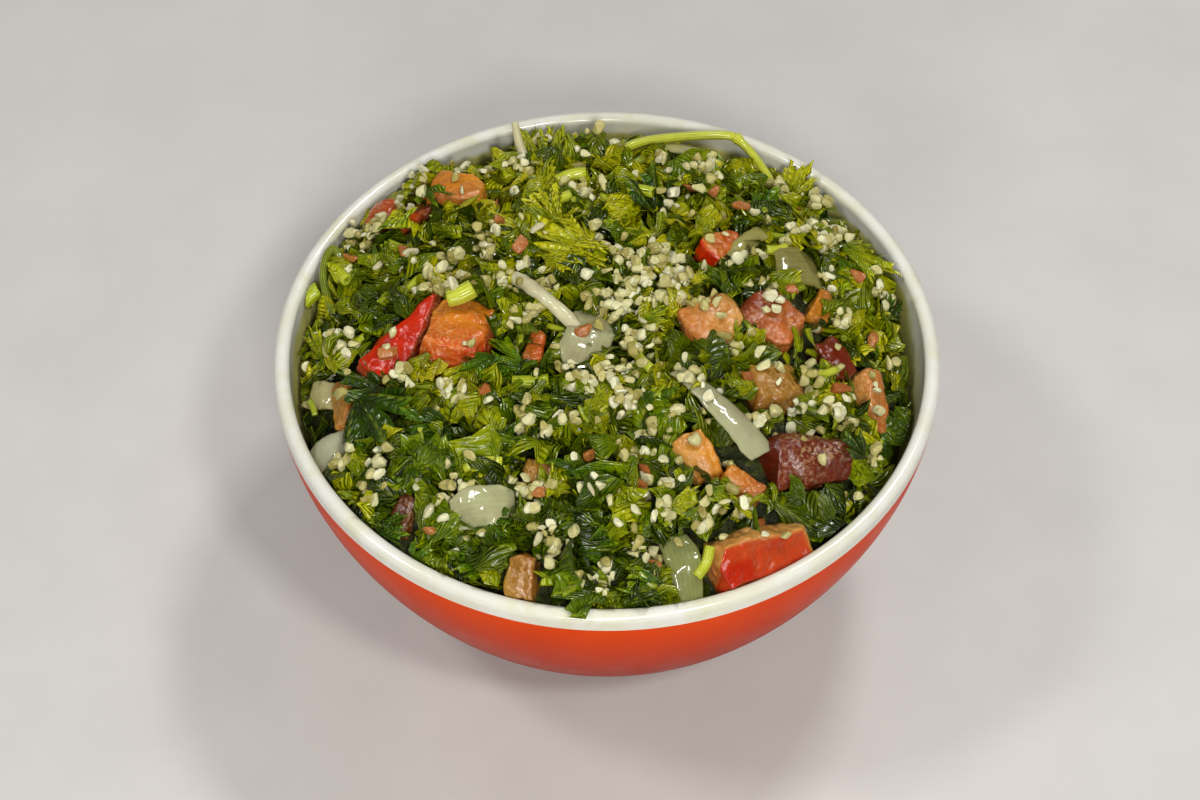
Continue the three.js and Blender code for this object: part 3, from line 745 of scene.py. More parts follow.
def curled(along, z, curl, length, n):
    """Bends pieces along one of their axes, each by its own amount up to curl radians."""
    bend = varied(-curl, curl, n) / length
    bend = np.where(np.abs(bend) < 1e-3, 1e-3, bend)
    return np.sin(bend * along) * (1 / bend - z), 1 / bend - np.cos(bend * along) * (1 / bend - z)


def strip_shapes(length, width):
    """Narrow shreds of leaf that bend and twist."""
    n, rows, columns = len(length), 8, 2
    u = np.linspace(-0.5, 0.5, rows + 1)[None, :, None]
    v = np.linspace(-0.5, 0.5, columns + 1)[None, None, :]
    length = length[:, None, None]
    twist = varied(-1.6, 1.6, n) * u + 0 * v
    broad = width[:, None, None] * (1 - 1.6 * np.abs(u) ** 2.5) * v
    x = length * u + 0 * v
    y = broad * np.cos(twist)
    z = broad * np.sin(twist) + 0.25 * np.abs(broad)
    x, z = curled(x, z, SHRED_CURL, length, n)
    x, y = curled(x, y, 0.6 * SHRED_CURL, length, n)
    vertices = np.stack(np.broadcast_arrays(x, y, z), -1).reshape(n, -1, 3)
    data = np.stack([0 * x, 0.5 + v + 0 * x, 0.6 + 0 * x], -1).reshape(n, -1, 3)
    return vertices, data, grid_quads(rows, columns)


def clip_to_bowl(points, clearance=CLEARANCE):
    """Pulls points that would pass through the bowl's wall back inside it."""
    radius = np.hypot(points[..., 0], points[..., 1])
    room = wall_radius(np.minimum(points[..., 2], LIP_Z)) - clearance
    inside = points[..., 2] < WALL_TOP
    shrink = np.where(inside & (radius > room), room / np.maximum(radius, 1e-6), 1.0)
    points[..., 0] *= shrink
    points[..., 1] *= shrink
    return points


def covers(points, tree):
    """The share of a piece's points that lie over a topping, or in it."""
    starts = (Vector(p) + Vector((0, 0, COVER_ABOVE)) for p in points * MM)
    return sum(tree.ray_cast(start, DOWN, COVER_REACH)[0] is not None for start in starts) / len(points)


def fragments(n, rings, length):
    """Torn bits of leaf with two lobes."""
    size, fan = rng.uniform(*length, n), rng.uniform(1.2, 2.6, n)
    return leaf_shapes(n, 2, rings, size, fan, cuts=2, curl=1.6, crumple=0.14, detail=1, depth=0.5)


def salad_piece(name, vertices, faces, material, data, smooth=True):
    """One kind of loose piece, which is part of what stands for the heap."""
    piece = mesh_object(name, vertices, faces, material, data, smooth)
    return stands_for(piece, "salad_heap")


def scatter(name, shapes, material, toppings, spots, lift, tilt, tone, open_gaps=True):
    """Lays pieces over the heap, apart from those that would cover a topping or a gap, as one mesh."""
    vertices, data, quads = shapes
    count = len(vertices)
    x, y = scattered(count, EDGE_REACH)
    normal = heap_normal(x, y)
    lean = rng.uniform(*tilt, (2, count)) * rng.choice([-1, 1], (2, count))
    rotation = turns(normal, rng.uniform(0, 2 * math.pi, count), lean[0], lean[1])
    height = pile(x, y, spots) + rng.uniform(*lift, count)
    place = np.stack([x, y, heap_height(x, y)], -1) + normal * height[:, None]
    vertices = clip_to_bowl(np.einsum("nij,npj->npi", rotation, vertices) + place[:, None])
    shade = 0.5 * rng.uniform(0, 1, count) + 0.5 * tone_patches_and_back_light(x, y)
    data[..., 0] = (tone[0] + (tone[1] - tone[0]) * shade)[:, None]
    gone = gaps(x, y) & open_gaps
    keep = [i for i in range(count) if not gone[i] and covers(vertices[i, ::3], toppings) < MOST_COVERED]
    quads = repeated(quads, vertices.shape[1], len(keep))
    return salad_piece(name, vertices[keep], quads, material, data[keep])


# Named leaves, placed as their solids are: node, place, lift, turn, length, lobes, fan, tone
NODE_LEAVES = [
    ("leaf_rim_right", (57.4, 21), 2.8, (-8, -14, 0), 16.5, 5, 110, 0.76),
    ("leaf_smooth_front", (1, -43.4), 1.9, (0, 0, 8), 19.5, 1, 34, 0.5),
    ("leaf_light_middle", (-11, 20.4), 3.2, (150, -6, 0), 18, 5, 130, 0.97),
    ("leaf_tuft_back", (-14.2, 54.6), 3, (96, -26, 0), 13, 3, 80, 0.78),
    ("leaf_rim_back", (42.6, 46.8), 3.4, (52, -46, 0), 13, 3, 70, 0.9),
    ("leaf_sprig_front", (48.4, -41), 2, (64, -10, 0), 12.5, 3, 90, 0.74),
]
# Whole leaflets on the heap, by their lobes: place, lift over the loose pieces, turn, length, fan, tone
WHOLE_LEAVES = {
    1: [
        ((25.2, 50), 3, (66, -38, 10), 11, 60, 0.52), ((50.5, 39), 1.8, (112, -24, -8), 10, 70, 0.24),
        ((44, 49.6), 5.2, (78, -52, 0), 10, 70, 0.97), ((-9.7, -41.7), 1.4, (150, -8, 10), 8, 70, 0.3),
        ((-44.8, 25.8), 2, (8, -10, 14), 11, 50, 0.74), ((-55, 40), 2.2, (110, -24, 0), 8.5, 70, 0.92),
        ((7.3, 21.1), 1.8, (24, -12, -10), 10, 60, 0.86),
    ],
    3: [
        ((-21, 24.6), 2.6, (186, -6, 10), 15, 60, 1), ((-13.1, 30.5), 2.4, (122, -16, -8), 12, 70, 0.92),
        ((-5.2, 15.4), 2.6, (-34, -6, 12), 16, 56, 0.99), ((0.4, 27), 2.2, (14, -12, 0), 13, 60, 0.9),
        ((-5.6, 55.1), 2.4, (104, -24, 0), 9, 90, 0.66), ((-15.4, 60), 4.6, (96, -44, 0), 10, 90, 0.86),
        ((-19.6, 55.6), 2.2, (134, -26, 0), 8, 90, 0.7), ((45.7, 31.7), 1.6, (40, -12, 10), 9, 90, 0.42),
        ((60, 23.6), 2.4, (8, -20, 0), 10, 80, 0.62), ((52.8, 16.2), 2, (-52, -10, 8), 11, 90, 0.6),
        ((62.4, 14.6), 1.8, (70, -14, 0), 10, 90, 0.2), ((59.5, 7.2), 1.6, (96, -12, 10), 9, 80, 0.5),
        ((58.2, -21.5), 1.4, (120, -10, 0), 9, 90, 0.26),
        ((-47.4, -25.6), 2.8, (-62, -6, 8), 17, 120, 0.14), ((-9.1, 13.2), 2.4, (-20, -8, 0), 12, 60, 0.96),
        ((-37.4, -30), 1.8, (204, -12, -12), 13, 110, 0.26),
        ((-50.9, -14.4), 1.6, (150, -8, 0), 12, 100, 0.2), ((47.4, -31.2), 4.6, (150, -6, 0), 9, 110, 0.08),
        ((-22.7, -14.8), 2, (172, -10, 10), 12, 110, 0.5),
        ((-27.3, -16.4), 1.6, (210, -12, 0), 10, 90, 0.42), ((11.3, -2), 1.8, (16, -16, 0), 9, 80, 0.7),
        ((-38.6, 33.7), 2.4, (-60, -14, 0), 10, 90, 0.46), ((-51, 44.6), 2.4, (20, -16, 0), 8, 90, 0.86),
        ((-33.1, 29.2), 1.8, (160, -10, 10), 9, 90, 0.36), ((-62, -4.4), 2, (250, -10, 10), 8, 90, 0.72),
        ((16.9, -48.7), 2.2, (8, -12, 10), 11, 80, 0.86), ((23.2, -47.4), 2, (-20, -12, -10), 9, 90, 0.7),
        ((-36.8, -54.2), 1.6, (32, -10, 10), 10, 90, 0.44),
        ((-43, -49.8), 1.4, (-22, -4, -14), 11, 90, 0.3),
        ((-28.6, -58.6), 1.4, (200, -10, 10), 10, 90, 0.5),
        ((-6.6, -52.4), 1.8, (150, -12, 8), 12, 100, 0.22),
        ((-1.5, -57.4), 1.8, (10, -12, 8), 10, 90, 0.34), ((8.7, -52.3), 1.8, (60, -12, 8), 9, 90, 0.6),
        ((10.5, 35), 2.2, (100, -16, 8), 14, 110, 0.14), ((30.7, 28.6), 1.6, (-30, -12, 0), 9, 90, 0.32),
        ((35.5, 35.1), 1.6, (60, -14, 0), 10, 90, 0.4), ((-18.2, -34.3), 1.6, (-12, -10, 10), 11, 100, 0.3),
        ((-32, -36), 1.6, (40, -8, 0), 10, 90, 0.5), ((-41.5, -38.4), 1.6, (-100, -10, 0), 10, 90, 0.34),
        ((11.1, -25.7), 1.8, (-40, -14, 10), 10, 90, 0.44), ((6.5, -64.4), 1.6, (190, -6, 0), 10, 90, 0.5),
        ((-9.6, -63), 1.8, (170, -6, 14), 11, 90, 0.66), ((-21, -51.7), 1.6, (-30, -8, 0), 10, 90, 0.3),
    ],
    5: [
        ((-13.3, 42.6), 2, (62, -22, 0), 11, 100, 0.93), ((-10.8, 57), 3.2, (74, -34, 0), 10, 100, 0.8),
        ((7, -5.4), 2, (-24, -12, 14), 12, 80, 0.78), ((-62.6, 3.2), 2.2, (96, -22, -10), 9, 110, 0.8),
    ],
}


def make_whole_leaves(material, spots):
    """The named leaves one by one, and the other whole leaflets as one mesh for each number of lobes."""
    pieces = []
    for node, *leaf in NODE_LEAVES:
        vertices, data, quads = placed_leaf(*leaf, rings=10)
        piece = mesh_object(node + "_dressed", vertices, quads, material, data)
        pieces.append(stands_for(piece, node))
    for lobes, leaves in WHOLE_LEAVES.items():
        shapes = []
        for at, lift, turn, length, fan, tone in leaves:
            raised = lift + pile(*np.array(at)[:, None], spots)[0]
            shapes.append(placed_leaf(at, raised, turn, length, lobes, fan, tone, rings=8))
        vertices, data, quads = joined(shapes)
        pieces.append(salad_piece(f"parsley_whole_{lobes}", vertices, quads, material, data))
    return pieces


def placed_leaf(at, lift, turn, length, lobes, fan, tone, rings):
    """One whole leaf, laid on the heap like its solid."""
    vertices, data, quads = leaf_shapes(1, lobes, rings, length, math.radians(fan),
                                        cuts=0, curl=0.9, crumple=0.05, detail=2, depth=1.0)
    place, rotation = on_heap(at, lift, turn)
    data[..., 0] = tone
    return clip_to_bowl(vertices[0] @ rotation.T + place), data[0], quads


# ---------------- toppings

def dressed(node):
    """A fine, smooth copy of a solid with a little unevenness, as vertices, faces and normals."""
    copy = bpy.data.objects.new("draft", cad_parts[node].data.copy())
    bpy.context.scene.collection.objects.link(copy)
    copy.modifiers.new("weld", "WELD").merge_threshold = 1e-6
    remesh = copy.modifiers.new("remesh", "REMESH")
    remesh.mode = "VOXEL"
    remesh.voxel_size = VOXEL * MM
    smooth = copy.modifiers.new("smooth", "SMOOTH")
    smooth.factor = 0.5
    smooth.iterations = SMOOTHING
    shape = copy.evaluated_get(bpy.context.evaluated_depsgraph_get()).to_mesh()
    points, normals = np.empty((2, len(shape.vertices) * 3), np.float32)
    shape.vertices.foreach_get("co", points)
    shape.vertex_normals.foreach_get("vector", normals)
    points, normals = points.reshape(-1, 3) / MM, normals.reshape(-1, 3)
    faces = np.array([(*p.vertices, -1)[:4] for p in shape.polygons])
    bpy.data.objects.remove(copy)
    uneven = np.array([noise.fractal(Vector(p / UNEVEN_WIDTH), 0.8, 2.0, 3) for p in points])
    return points + normals * (uneven * UNEVEN)[:, None], faces, normals


# How each tomato looks: flesh, deeper flesh, skin, the direction that its skin faces, if any shows, and the
# direction in which its flesh turns to the deeper colour
PALE, PEACH, ORANGE, PINK = (208, 132, 26), (194, 142, 66), (198, 80, 8), (182, 98, 36)
RED, BRIGHT, DARK, MAROON = (168, 48, 10), (190, 38, 2), (114, 38, 8), (92, 28, 10)
SCARLET, TAN, BROWN, UMBER = (190, 48, 8), (162, 118, 38), (140, 84, 24), (88, 40, 8)
RIGHT = (1.0, 0.0, 0.0)
TOMATO_LOOKS = {
    "tomato_large_left": (PALE, SCARLET, RED, None, (0.45, -1.0, -0.4)),
    "tomato_wedge_left": (RED, DARK, BRIGHT, (-0.5, -0.3, 1), RIGHT),
    "tomato_back_left": (PALE, PINK, RED, None, (-1.0, -0.8, 0.0)),
    "tomato_rim_left": (ORANGE, DARK, DARK, (-0.2, 0.2, 1), RIGHT),
    "tomato_seedy_left": (PINK, RED, RED, None, RIGHT),
    "tomato_orange_right": (PEACH, PINK, RED, None, (-1.0, -0.5, -0.4)),
    "tomato_dark_middle": (PINK, DARK, DARK, (-0.2, 0.7, 0.8), (-0.7, 0.5, 0.0)),
    "tomato_dark_right": (UMBER, DARK, DARK, (0, 0, 1), RIGHT),
    "tomato_edge_right": (PEACH, PINK, RED, None, RIGHT),
    "tomato_brown_right": (TAN, BROWN, RED, None, (-0.3, -0.6, -0.8)),
    "tomato_maroon_front": (DARK, MAROON, MAROON, (-0.6, -0.2, 0.6), RIGHT),
    "tomato_red_front": (PEACH, PINK, BRIGHT, (0, -0.8, 0.35), (0.2, -1.0, -0.6)),
    "tomato_fleshy_front": (PEACH, PALE, RED, None, RIGHT),
    "tomato_strip_front": (PALE, PINK, RED, None, RIGHT),
    "tomato_small_back": (PALE, RED, BRIGHT, (-0.5, -0.5, 0.5), RIGHT),
    "tomato_sliver_middle": (BROWN, ORANGE, RED, None, RIGHT),
    "tomato_brown_front": (TAN, BROWN, RED, None, RIGHT),
    "tomato_rim_front": (TAN, BROWN, RED, None, RIGHT),
    "tomato_edge_left": (TAN, PINK, RED, None, RIGHT),
    "tomato_deep_left": (UMBER, UMBER, RED, None, RIGHT),
    "tomato_orange_edge": (PALE, BROWN, RED, None, RIGHT),
}


def make_tomatoes():
    pieces = []
    for node, (flesh, deep, skin, facing, deepens) in TOMATO_LOOKS.items():
        points, faces, normals = dressed(node)
        along = points @ np.array(deepens)
        depth = (along - along.min()) / np.ptp(along)
        skinned = np.zeros(len(points))
        if facing:
            away = normals @ (np.array(facing) / np.linalg.norm(facing))
            skinned = np.clip((away - 0.45) / 0.4, 0, 1)
        material = tomato_material(node + "_look", flesh, deep, skin)
        data = np.stack([skinned, depth, depth], -1)
        piece = mesh_object(node + "_dressed", points, faces, material, data)
        pieces.append(stands_for(piece, node))
    return pieces


# Slices of onion, placed as their solids are: node, place, size, turn, bends along and across, lift, taper,
# colour, and how much light passes clear and clouded
ONIONS = [
    ("onion_sliver_middle", (-13.5, 1.4), (25, 3.4, 2.4), (-47, 0, 0), (50, 20), 1.2, 0,
     (218, 214, 172), 0.05, 0.12),
    ("onion_fold_middle", (-4.4, -8.2), (16.5, 10.5, 1.2), (70, -8, 18), (45, 50), 1.3, 0,
     (196, 196, 148), 0.25, 0.2),
    ("onion_long_right", (23.2, -26.6), (27, 8, 1.2), (-48, 0, -10), (30, 45), 1, 0.55,
     (200, 200, 156), 0.25, 0.2),
    ("onion_square_front", (-25.6, -48.2), (13.5, 8.8, 1.2), (4, 0, 8), (35, 30), 0.9, 0,
     (198, 200, 150), 0.15, 0.2),
    ("onion_petal_front", (15.7, -61), (15, 8, 1.2), (104, -6, 0), (30, 55), 0.8, 0.3,
     (164, 170, 100), 0.25, 0.3),
    ("onion_clear_right", (42, 15.6), (12, 10, 1.2), (10, 6, 10), (40, 35), 0.8, 0,
     (170, 164, 88), 0.3, 0.3),
    ("onion_sliver_back", (30.2, 20.4), (12.5, 4, 1.5), (48, 0, 12), (30, 20), 1.2, 0,
     (186, 182, 100), 0.15, 0.25),
    ("onion_curl_left", (-58.4, -26.2), (11.5, 7, 1.2), (14, 0, 8), (60, 40), 0.9, 0,
     (206, 206, 174), 0.2, 0.25),
    ("onion_chip_left", (-60.8, -10.8), (8.5, 6.4, 1.2), (-24, 0, 6), (30, 25), 0.9, 0,
     (204, 196, 136), 0.1, 0.25),
    ("onion_slice_back", (20.4, 53), (15, 9, 1.2), (-6, 4, -12), (30, 30), 0.8, 0,
     (206, 200, 142), 0.1, 0.25),
]


def onion_sheet(size, bends, taper):
    """A slice of onion as a closed sheet, arched like its solid, with its corners cut off straight."""
    length, width, thickness = size
    along, across = length / math.radians(bends[0]), width / math.radians(bends[1])
    u, v = np.meshgrid(*(np.linspace(-1, 1, n + 1) for n in (SHEET_ROWS, SHEET_COLUMNS)), indexing="ij")
    w, t = u * length / 2, v * width / 2 * (1 - taper * (1 - u) / 2)
    narrow = width < 0.35 * length
    for side_u, side_v in ((1, 1), (1, -1), (-1, 1), (-1, -1)):
        normal = np.array([side_u * width, side_v * length]) / math.hypot(width, length)
        off = rng.uniform(0.72, 1.02) * (abs(normal[0]) * length + abs(normal[1]) * width) / 2
        over = np.maximum(w * normal[0] + t * normal[1] - off, 0)
        w, t = w - over * normal[0], t - over * normal[1]
    seed = 3.7 * length + width
    wobble = noise_at(w.ravel(), t.ravel(), 4.5, seed, smoothness=0.8, step=2, octaves=3).reshape(u.shape)
    w, t = w + 0.35 * wobble, t + 0.35 * wobble[::-1]
    arch = along * (np.cos(w / along) - math.cos(math.radians(bends[0] / 2)))
    ridge = across * (np.cos(t / across) - math.cos(math.radians(bends[1] / 2)))
    crease = 0 if narrow else 0.5 * np.maximum(w + 0.3 * t - 0.1 * length, 0)
    z = (1 if narrow else 0.6) * (arch + ridge) - crease + (0.15 if narrow else 0.25) * wobble
    round_edge = np.sqrt(1 - 0.98 * v ** 2) if narrow else 1 - 0.4 * np.maximum(np.abs(u), np.abs(v)) ** 8
    half = thickness / 2 * round_edge * (1 - 0.5 * np.abs(u) ** 6)
    x, y = along * np.sin(w / along), across * np.sin(t / across)
    top, under = (np.stack([x, y, z + k * half], -1) for k in (1, -1))
    return closed_sheet(top, under, np.stack([0 * u, (v + 1) / 2, (u + 1) / 2], -1))


def closed_sheet(top, under, data):
    """Two grids of points joined round their edges: vertices, data and quads."""
    rows, columns = top.shape[0] - 1, top.shape[1] - 1
    quads = grid_quads(rows, columns)
    below = quads[:, ::-1] + (rows + 1) * (columns + 1)
    index = np.arange((rows + 1) * (columns + 1)).reshape(rows + 1, columns + 1)
    edge = np.concatenate([index[0, :-1], index[:-1, -1], index[-1, :0:-1], index[:0:-1, 0]])
    after = np.roll(edge, -1)
    rim = np.stack([edge, after, after + index.size, edge + index.size], -1)
    vertices = np.concatenate([top.reshape(-1, 3), under.reshape(-1, 3)])
    return vertices, np.tile(data.reshape(-1, 3), (2, 1)), np.concatenate([quads, below, rim])


def make_onions():
    pieces = []
    for node, at, size, turn, bends, lift, taper, tint, through, share in ONIONS:
        vertices, data, quads = onion_sheet(size, bends, taper)
        place, rotation = on_heap(at, lift, turn)
        look = onion_material(node + "_look", tint, through, share)
        piece = mesh_object(node + "_dressed", vertices @ rotation.T + place, quads, look, data)
        pieces.append(stands_for(piece, node))
    return pieces


def smooth_path(route, steps):
    """A Catmull-Rom curve through the points of a route."""
    route = np.asarray(route, float)
    t = np.linspace(0, len(route) - 1, steps + 1)
    padded = np.concatenate([[2 * route[0] - route[1]], route, [2 * route[-1] - route[-2]]])
    k = np.clip(t.astype(int), 0, len(route) - 2)
    f = (t - k)[:, None]
    a, b, c, d = (padded[k + i] for i in range(4))
    square, cube = 2 * a - 5 * b + 4 * c - d, 3 * b - a - 3 * c + d
    return 0.5 * (2 * b + (c - a) * f + square * f ** 2 + cube * f ** 3)


def tube(route, radius, sides, steps, hollow=0.45):
    """A round stalk along a route, with a hollow in each end: vertices, data and quads."""
    path = smooth_path(route, steps)
    along = np.gradient(path, axis=0)
    along /= np.linalg.norm(along, axis=1, keepdims=True)
    side = np.cross(along[0], [0.3, 0.2, 1.0])
    frames = []
    for direction in along:
        side = side - direction * (side @ direction)
        side /= np.linalg.norm(side)
        frames.append((side, np.cross(direction, side)))
    frames = np.array(frames)
    angle = round_angles(sides)
    around = frames[:, 0, None] * np.cos(angle)[:, None] + frames[:, 1, None] * np.sin(angle)[:, None]
    radius = np.broadcast_to(radius, steps + 1)[:, None, None]
    rows = list(path[:, None] + around * radius)
    for end, inward in ((0, 1), (-1, -1)):
        pit = path[end] + inward * along[end] * 0.7 * radius[end, 0, 0]
        lip = path[end] + around[end] * radius[end, 0, 0] * hollow
        row = [lip, pit + around[end] * radius[end, 0, 0] * hollow * 0.6, pit.repeat(sides).reshape(3, -1).T]
        rows = row[::-1] + rows if end == 0 else rows + row
    vertices = np.stack(rows)
    data = np.zeros(vertices.shape)
    data[..., 1] = np.abs(angle / math.pi - 1)
    return vertices.reshape(-1, 3), data.reshape(-1, 3), grid_quads(len(rows) - 1, sides, closed=True)


STEM_ROUTE = [(1.5, 53, 69.2), (10.1, 57.4, 69), (26.6, 60.2, 67.8), (31.6, 57.6, 67.2), (36.4, 49.6, 66.2),
              (38.4, 43.4, 66)]


def make_stem(material):
    """The stem that arches over the back, thicker at a joint halfway."""
    t = np.linspace(0, 1, STEM_STEPS + 1)
    radius = 1.15 - 0.25 * t + 0.4 * np.exp(-((t - 0.52) / 0.035) ** 2)
    vertices, data, quads = tube(STEM_ROUTE, radius, sides=16, steps=STEM_STEPS)
    data[:, 0] = 0.9
    stem = mesh_object("stem_arch_dressed", vertices, quads, material, data)
    stands_for(stem, "stem_arch")


# Cut stalks: place, lift, turn, length, radius, tone
STALKS = [
    ((-30.4, 0.4), 8.4, (16, -8, 0), 5.8, 2.1, 0.9), ((-16.1, -19.9), 2.4, (2, 0, 0), 7.6, 1.4, 0.6),
    ((-16.8, -28), 2.2, (12, 0, 0), 4.4, 1.3, 0.6), ((7.4, -13.8), 3, (-62, 0, 0), 8.2, 1.1, 0.75),
    ((-25.3, -39.3), 2.6, (8, 0, 0), 8.2, 1, 0.9), ((-64, 17.6), 2.6, (30, 20, 0), 5, 1.9, 0.7),
    ((-57.4, 18.6), 2.4, (-58, 0, 0), 6.5, 1.4, 0.72), ((-40.1, 10.5), 2.4, (30, -6, 0), 6, 1.1, 0.7),
    ((-7.9, 41.1), 2.4, (16, -6, 0), 7, 1.4, 0.8), ((-10.4, 32), 2.2, (40, -6, 0), 6, 1.1, 0.85),
    ((7.5, 34.3), 2.2, (-14, -10, 0), 6, 1.3, 0.7), ((44.5, -12.5), 3, (20, -6, 0), 7.5, 0.9, 0.8),
    ((18.9, -59), 2.4, (70, -6, 0), 7, 1.2, 0.8), ((36.8, 19.3), 2.2, (20, 0, 0), 5, 1.1, 0.8),
]


def stalk_set(spots, toppings):
    """The larger cut stalks, and small ones scattered over the heap."""
    rows = list(STALKS)
    x, y = scattered(STALK_COUNT, 0.95)
    height = pile(x, y, spots)
    for i in range(STALK_COUNT):
        turn = (rng.uniform(0, 360), rng.uniform(-30, 30), 0)
        lift = height[i] + rng.uniform(0.4, 1.9)
        size = (rng.uniform(3, 8.5), rng.uniform(0.4, 1.0))
        rows.append(((x[i], y[i]), lift, turn, *size, rng.uniform(0.2, 1)))
    shapes = []
    for k, (at, lift, turn, length, radius, tone) in enumerate(rows):
        place, rotation = on_heap(at, lift, turn)
        bow = rng.uniform(-0.12, 0.12) * length
        route = [(-length / 2, 0, 0), (0, bow, 0.3 * bow), (length / 2, 0, 0)]
        vertices, data, quads = tube(route, radius, sides=10, steps=6)
        vertices = clip_to_bowl(vertices @ rotation.T + place)
        data[:, 0] = tone
        if k < len(STALKS) or covers(vertices[::9], toppings) < MOST_BY_STALK:
            shapes.append((vertices, data, quads))
    return joined(shapes)


# Long stalks that bend: one that loops up inside the wall on the left, and one that hooks over beside it
LOOP_ROUTE = [(-57.8, 19.6, 65.0), (-59.4, 23.5, 66.6), (-61.0, 25.6, 67.0), (-62.5, 23.5, 66.2),
              (-62.9, 19.4, 64.6), (-61.8, 14.7, 63.2), (-60.0, 10.2, 62.4)]
HOOK_ROUTE = [(-55.4, 1.6, 66.6), (-53.1, 3.6, 69.0), (-50.0, 3.3, 70.8), (-47.4, 0.9, 71.4),
              (-47.2, -2.7, 70.8), (-48.8, -5.8, 69.2)]


def make_loops(material):
    routes = (LOOP_ROUTE, HOOK_ROUTE)
    vertices, data, quads = joined([tube(route, 0.95, sides=12, steps=48) for route in routes])
    data[..., 0] = 0.14
    salad_piece("stalk_loops", clip_to_bowl(vertices, 0.3), quads, material, data)


def make_onion_strip(material):
    """The white strip of onion that stands up at the back."""
    route = [(-18.1, 49, 68), (-19, 51.2, 70.5), (-20.2, 54, 73), (-20.9, 56.9, 75.4)]
    vertices, data, quads = tube(route, np.linspace(1.35, 0.8, 25), sides=12, steps=24, hollow=0.1)
    salad_piece("onion_strip", vertices, quads, material, data)


# ---------------- grains and small bits

def chip_shapes(length, squash):
    """Angular chips: balls with flat faces cut on them. Vertices, and the triangles of one chip."""
    n = len(length)
    ball, triangles = icosphere(2)
    points = np.broadcast_to(ball, (n, *ball.shape)).copy()
    for _ in range(CHIP_FLATS):
        face = rng.normal(size=(n, 1, 3))
        face /= np.linalg.norm(face, axis=-1, keepdims=True)
        off = varied(*CHIP_CUT, n)
        points -= np.maximum((points * face).sum(-1, keepdims=True) - off, 0) * face
    points *= 1 + 0.03 * rng.normal(size=(n, points.shape[1], 1))
    broad, thick = rng.uniform(*squash, (2, n))
    scale = length[:, None] / 2 * np.stack([np.full(n, 1.15), broad, thick], -1)
    return points * scale[:, None], triangles


def icosphere(subdivisions):
    ball = bmesh.new()
    bmesh.ops.create_icosphere(ball, subdivisions=subdivisions, radius=1)
    points = np.array([v.co[:] for v in ball.verts])
    triangles = np.array([[v.index for v in f.verts] for f in ball.faces])
    ball.free()
    return points, triangles


def tree_of(objects):
    """One BVH over the faces of several objects, in metres."""
    points, faces, start = [], [], 0
    for o in objects:
        count = len(o.data.vertices)
        co = np.empty(count * 3, np.float32)
        o.data.vertices.foreach_get("co", co)
        points.append(co.reshape(-1, 3))
        faces += [tuple(start + i for i in p.vertices) for p in o.data.polygons]
        start += count
    return BVHTree.FromPolygons([Vector(p) for p in np.concatenate(points)], faces)


def below(x, y, tree, reach):
    """What lies below a place: point, normal, face and distance, or None for each."""
    return tree.ray_cast(Vector((x, y, DROP_FROM)) * MM, DOWN, reach)


def dropped(x, y, tree):
    """Where pieces that fall on the heap come to lie: points and normals, and which of them hit."""
    places, normals, hits = [], [], []
    for a, b in zip(x, y):
        hit, normal, _, _ = below(a, b, tree, DROP_REACH)
        hits.append(hit is not None)
        if hit is not None:
            places.append(np.array(hit) / MM)
            normals.append(np.array(-normal if normal.z < 0 else normal))
    return np.array(places), np.array(normals), np.array(hits)


def drop_chips(name, x, y, up, tree, material, length, squash, tone, smooth=False):
    """Chips that fall straight down on what is there, and come to lie up above it, as one mesh."""
    places, normals, hits = dropped(x, y, tree)
    n = len(places)
    size = rng.uniform(*length, n)
    shapes, triangles = chip_shapes(size, squash)
    yaw, pitch, roll = (rng.uniform(low, high, n) for low, high in ((0, 2 * math.pi), (-0.6, 0.6), (0, 3)))
    places = places + normals * (0.15 * size)[:, None]
    places[:, 2] += np.broadcast_to(up, len(x))[hits]
    vertices = np.einsum("nij,npj->npi", turns(normals, yaw, pitch, roll), shapes) + places[:, None]
    data = np.zeros(vertices.shape)
    data[..., 0] = rng.uniform(*tone, n)[:, None]
    triangles = repeated(triangles, vertices.shape[1], n)
    return salad_piece(name, clip_to_bowl(vertices), triangles, material, data, smooth)


# Clusters of grains: place, spread and number
CLUSTERS = [
    (5, 6.1, 4.2, 54), (9.5, 14.4, 3.8, 38), (1, 0.6, 3.2, 24), (6.5, -8, 3.2, 24), (3, -16, 3.4, 28),
    (14, 9.5, 3, 18), (-2, -1.1, 2.4, 14), (24.2, -52.3, 4, 44), (18.9, -54.3, 2.4, 14),
    (-30.6, -44, 2.6, 16), (-15.9, -45.9, 3.4, 30), (-4.6, -18.5, 2.8, 20), (-52.7, 29, 2.8, 18),
    (-43.5, 45.2, 2.2, 12), (48.7, -22.3, 2.8, 20), (36, 5.2, 2, 8), (35.5, -15.4, 2.4, 12),
    (3.7, -24.4, 3, 24), (-55, -31.2, 2.4, 14), (21.3, 42.6, 2.6, 16), (-3.8, 37.6, 2.6, 16),
    (53, -41.7, 2.4, 14), (-39, 6.2, 2.2, 10), (-27.4, 20.7, 2.4, 12), (62, 17, 2.4, 14),
    (41.1, 26.3, 2.4, 12), (49, 41.4, 2.2, 12), (-1.5, 21.7, 2, 8), (-12.6, -57.8, 2.6, 16),
    (9.9, -32.1, 2.4, 14), (-9.8, -32.6, 2.2, 12), (27.1, -9, 2, 8), (-59.2, -1, 2.2, 12),
    (-18.6, 6.8, 2.4, 14), (6.7, -38.2, 2.4, 14), (-18.5, -4.4, 2, 8), (-42, -54, 2.4, 12),
    (-1.5, -64, 2.6, 14), (19.5, -20.8, 2.2, 10), (56.8, -30, 2, 8), (32.8, 6.1, 2, 8),
    (-28.2, -57.3, 2.4, 12), (-57.5, 32.5, 2.4, 14), (-33.7, 15.6, 2.2, 10), (15.7, 3.2, 2.2, 12),
    (38.7, -26.7, 2.4, 12), (6.6, -58, 2.4, 12),
]
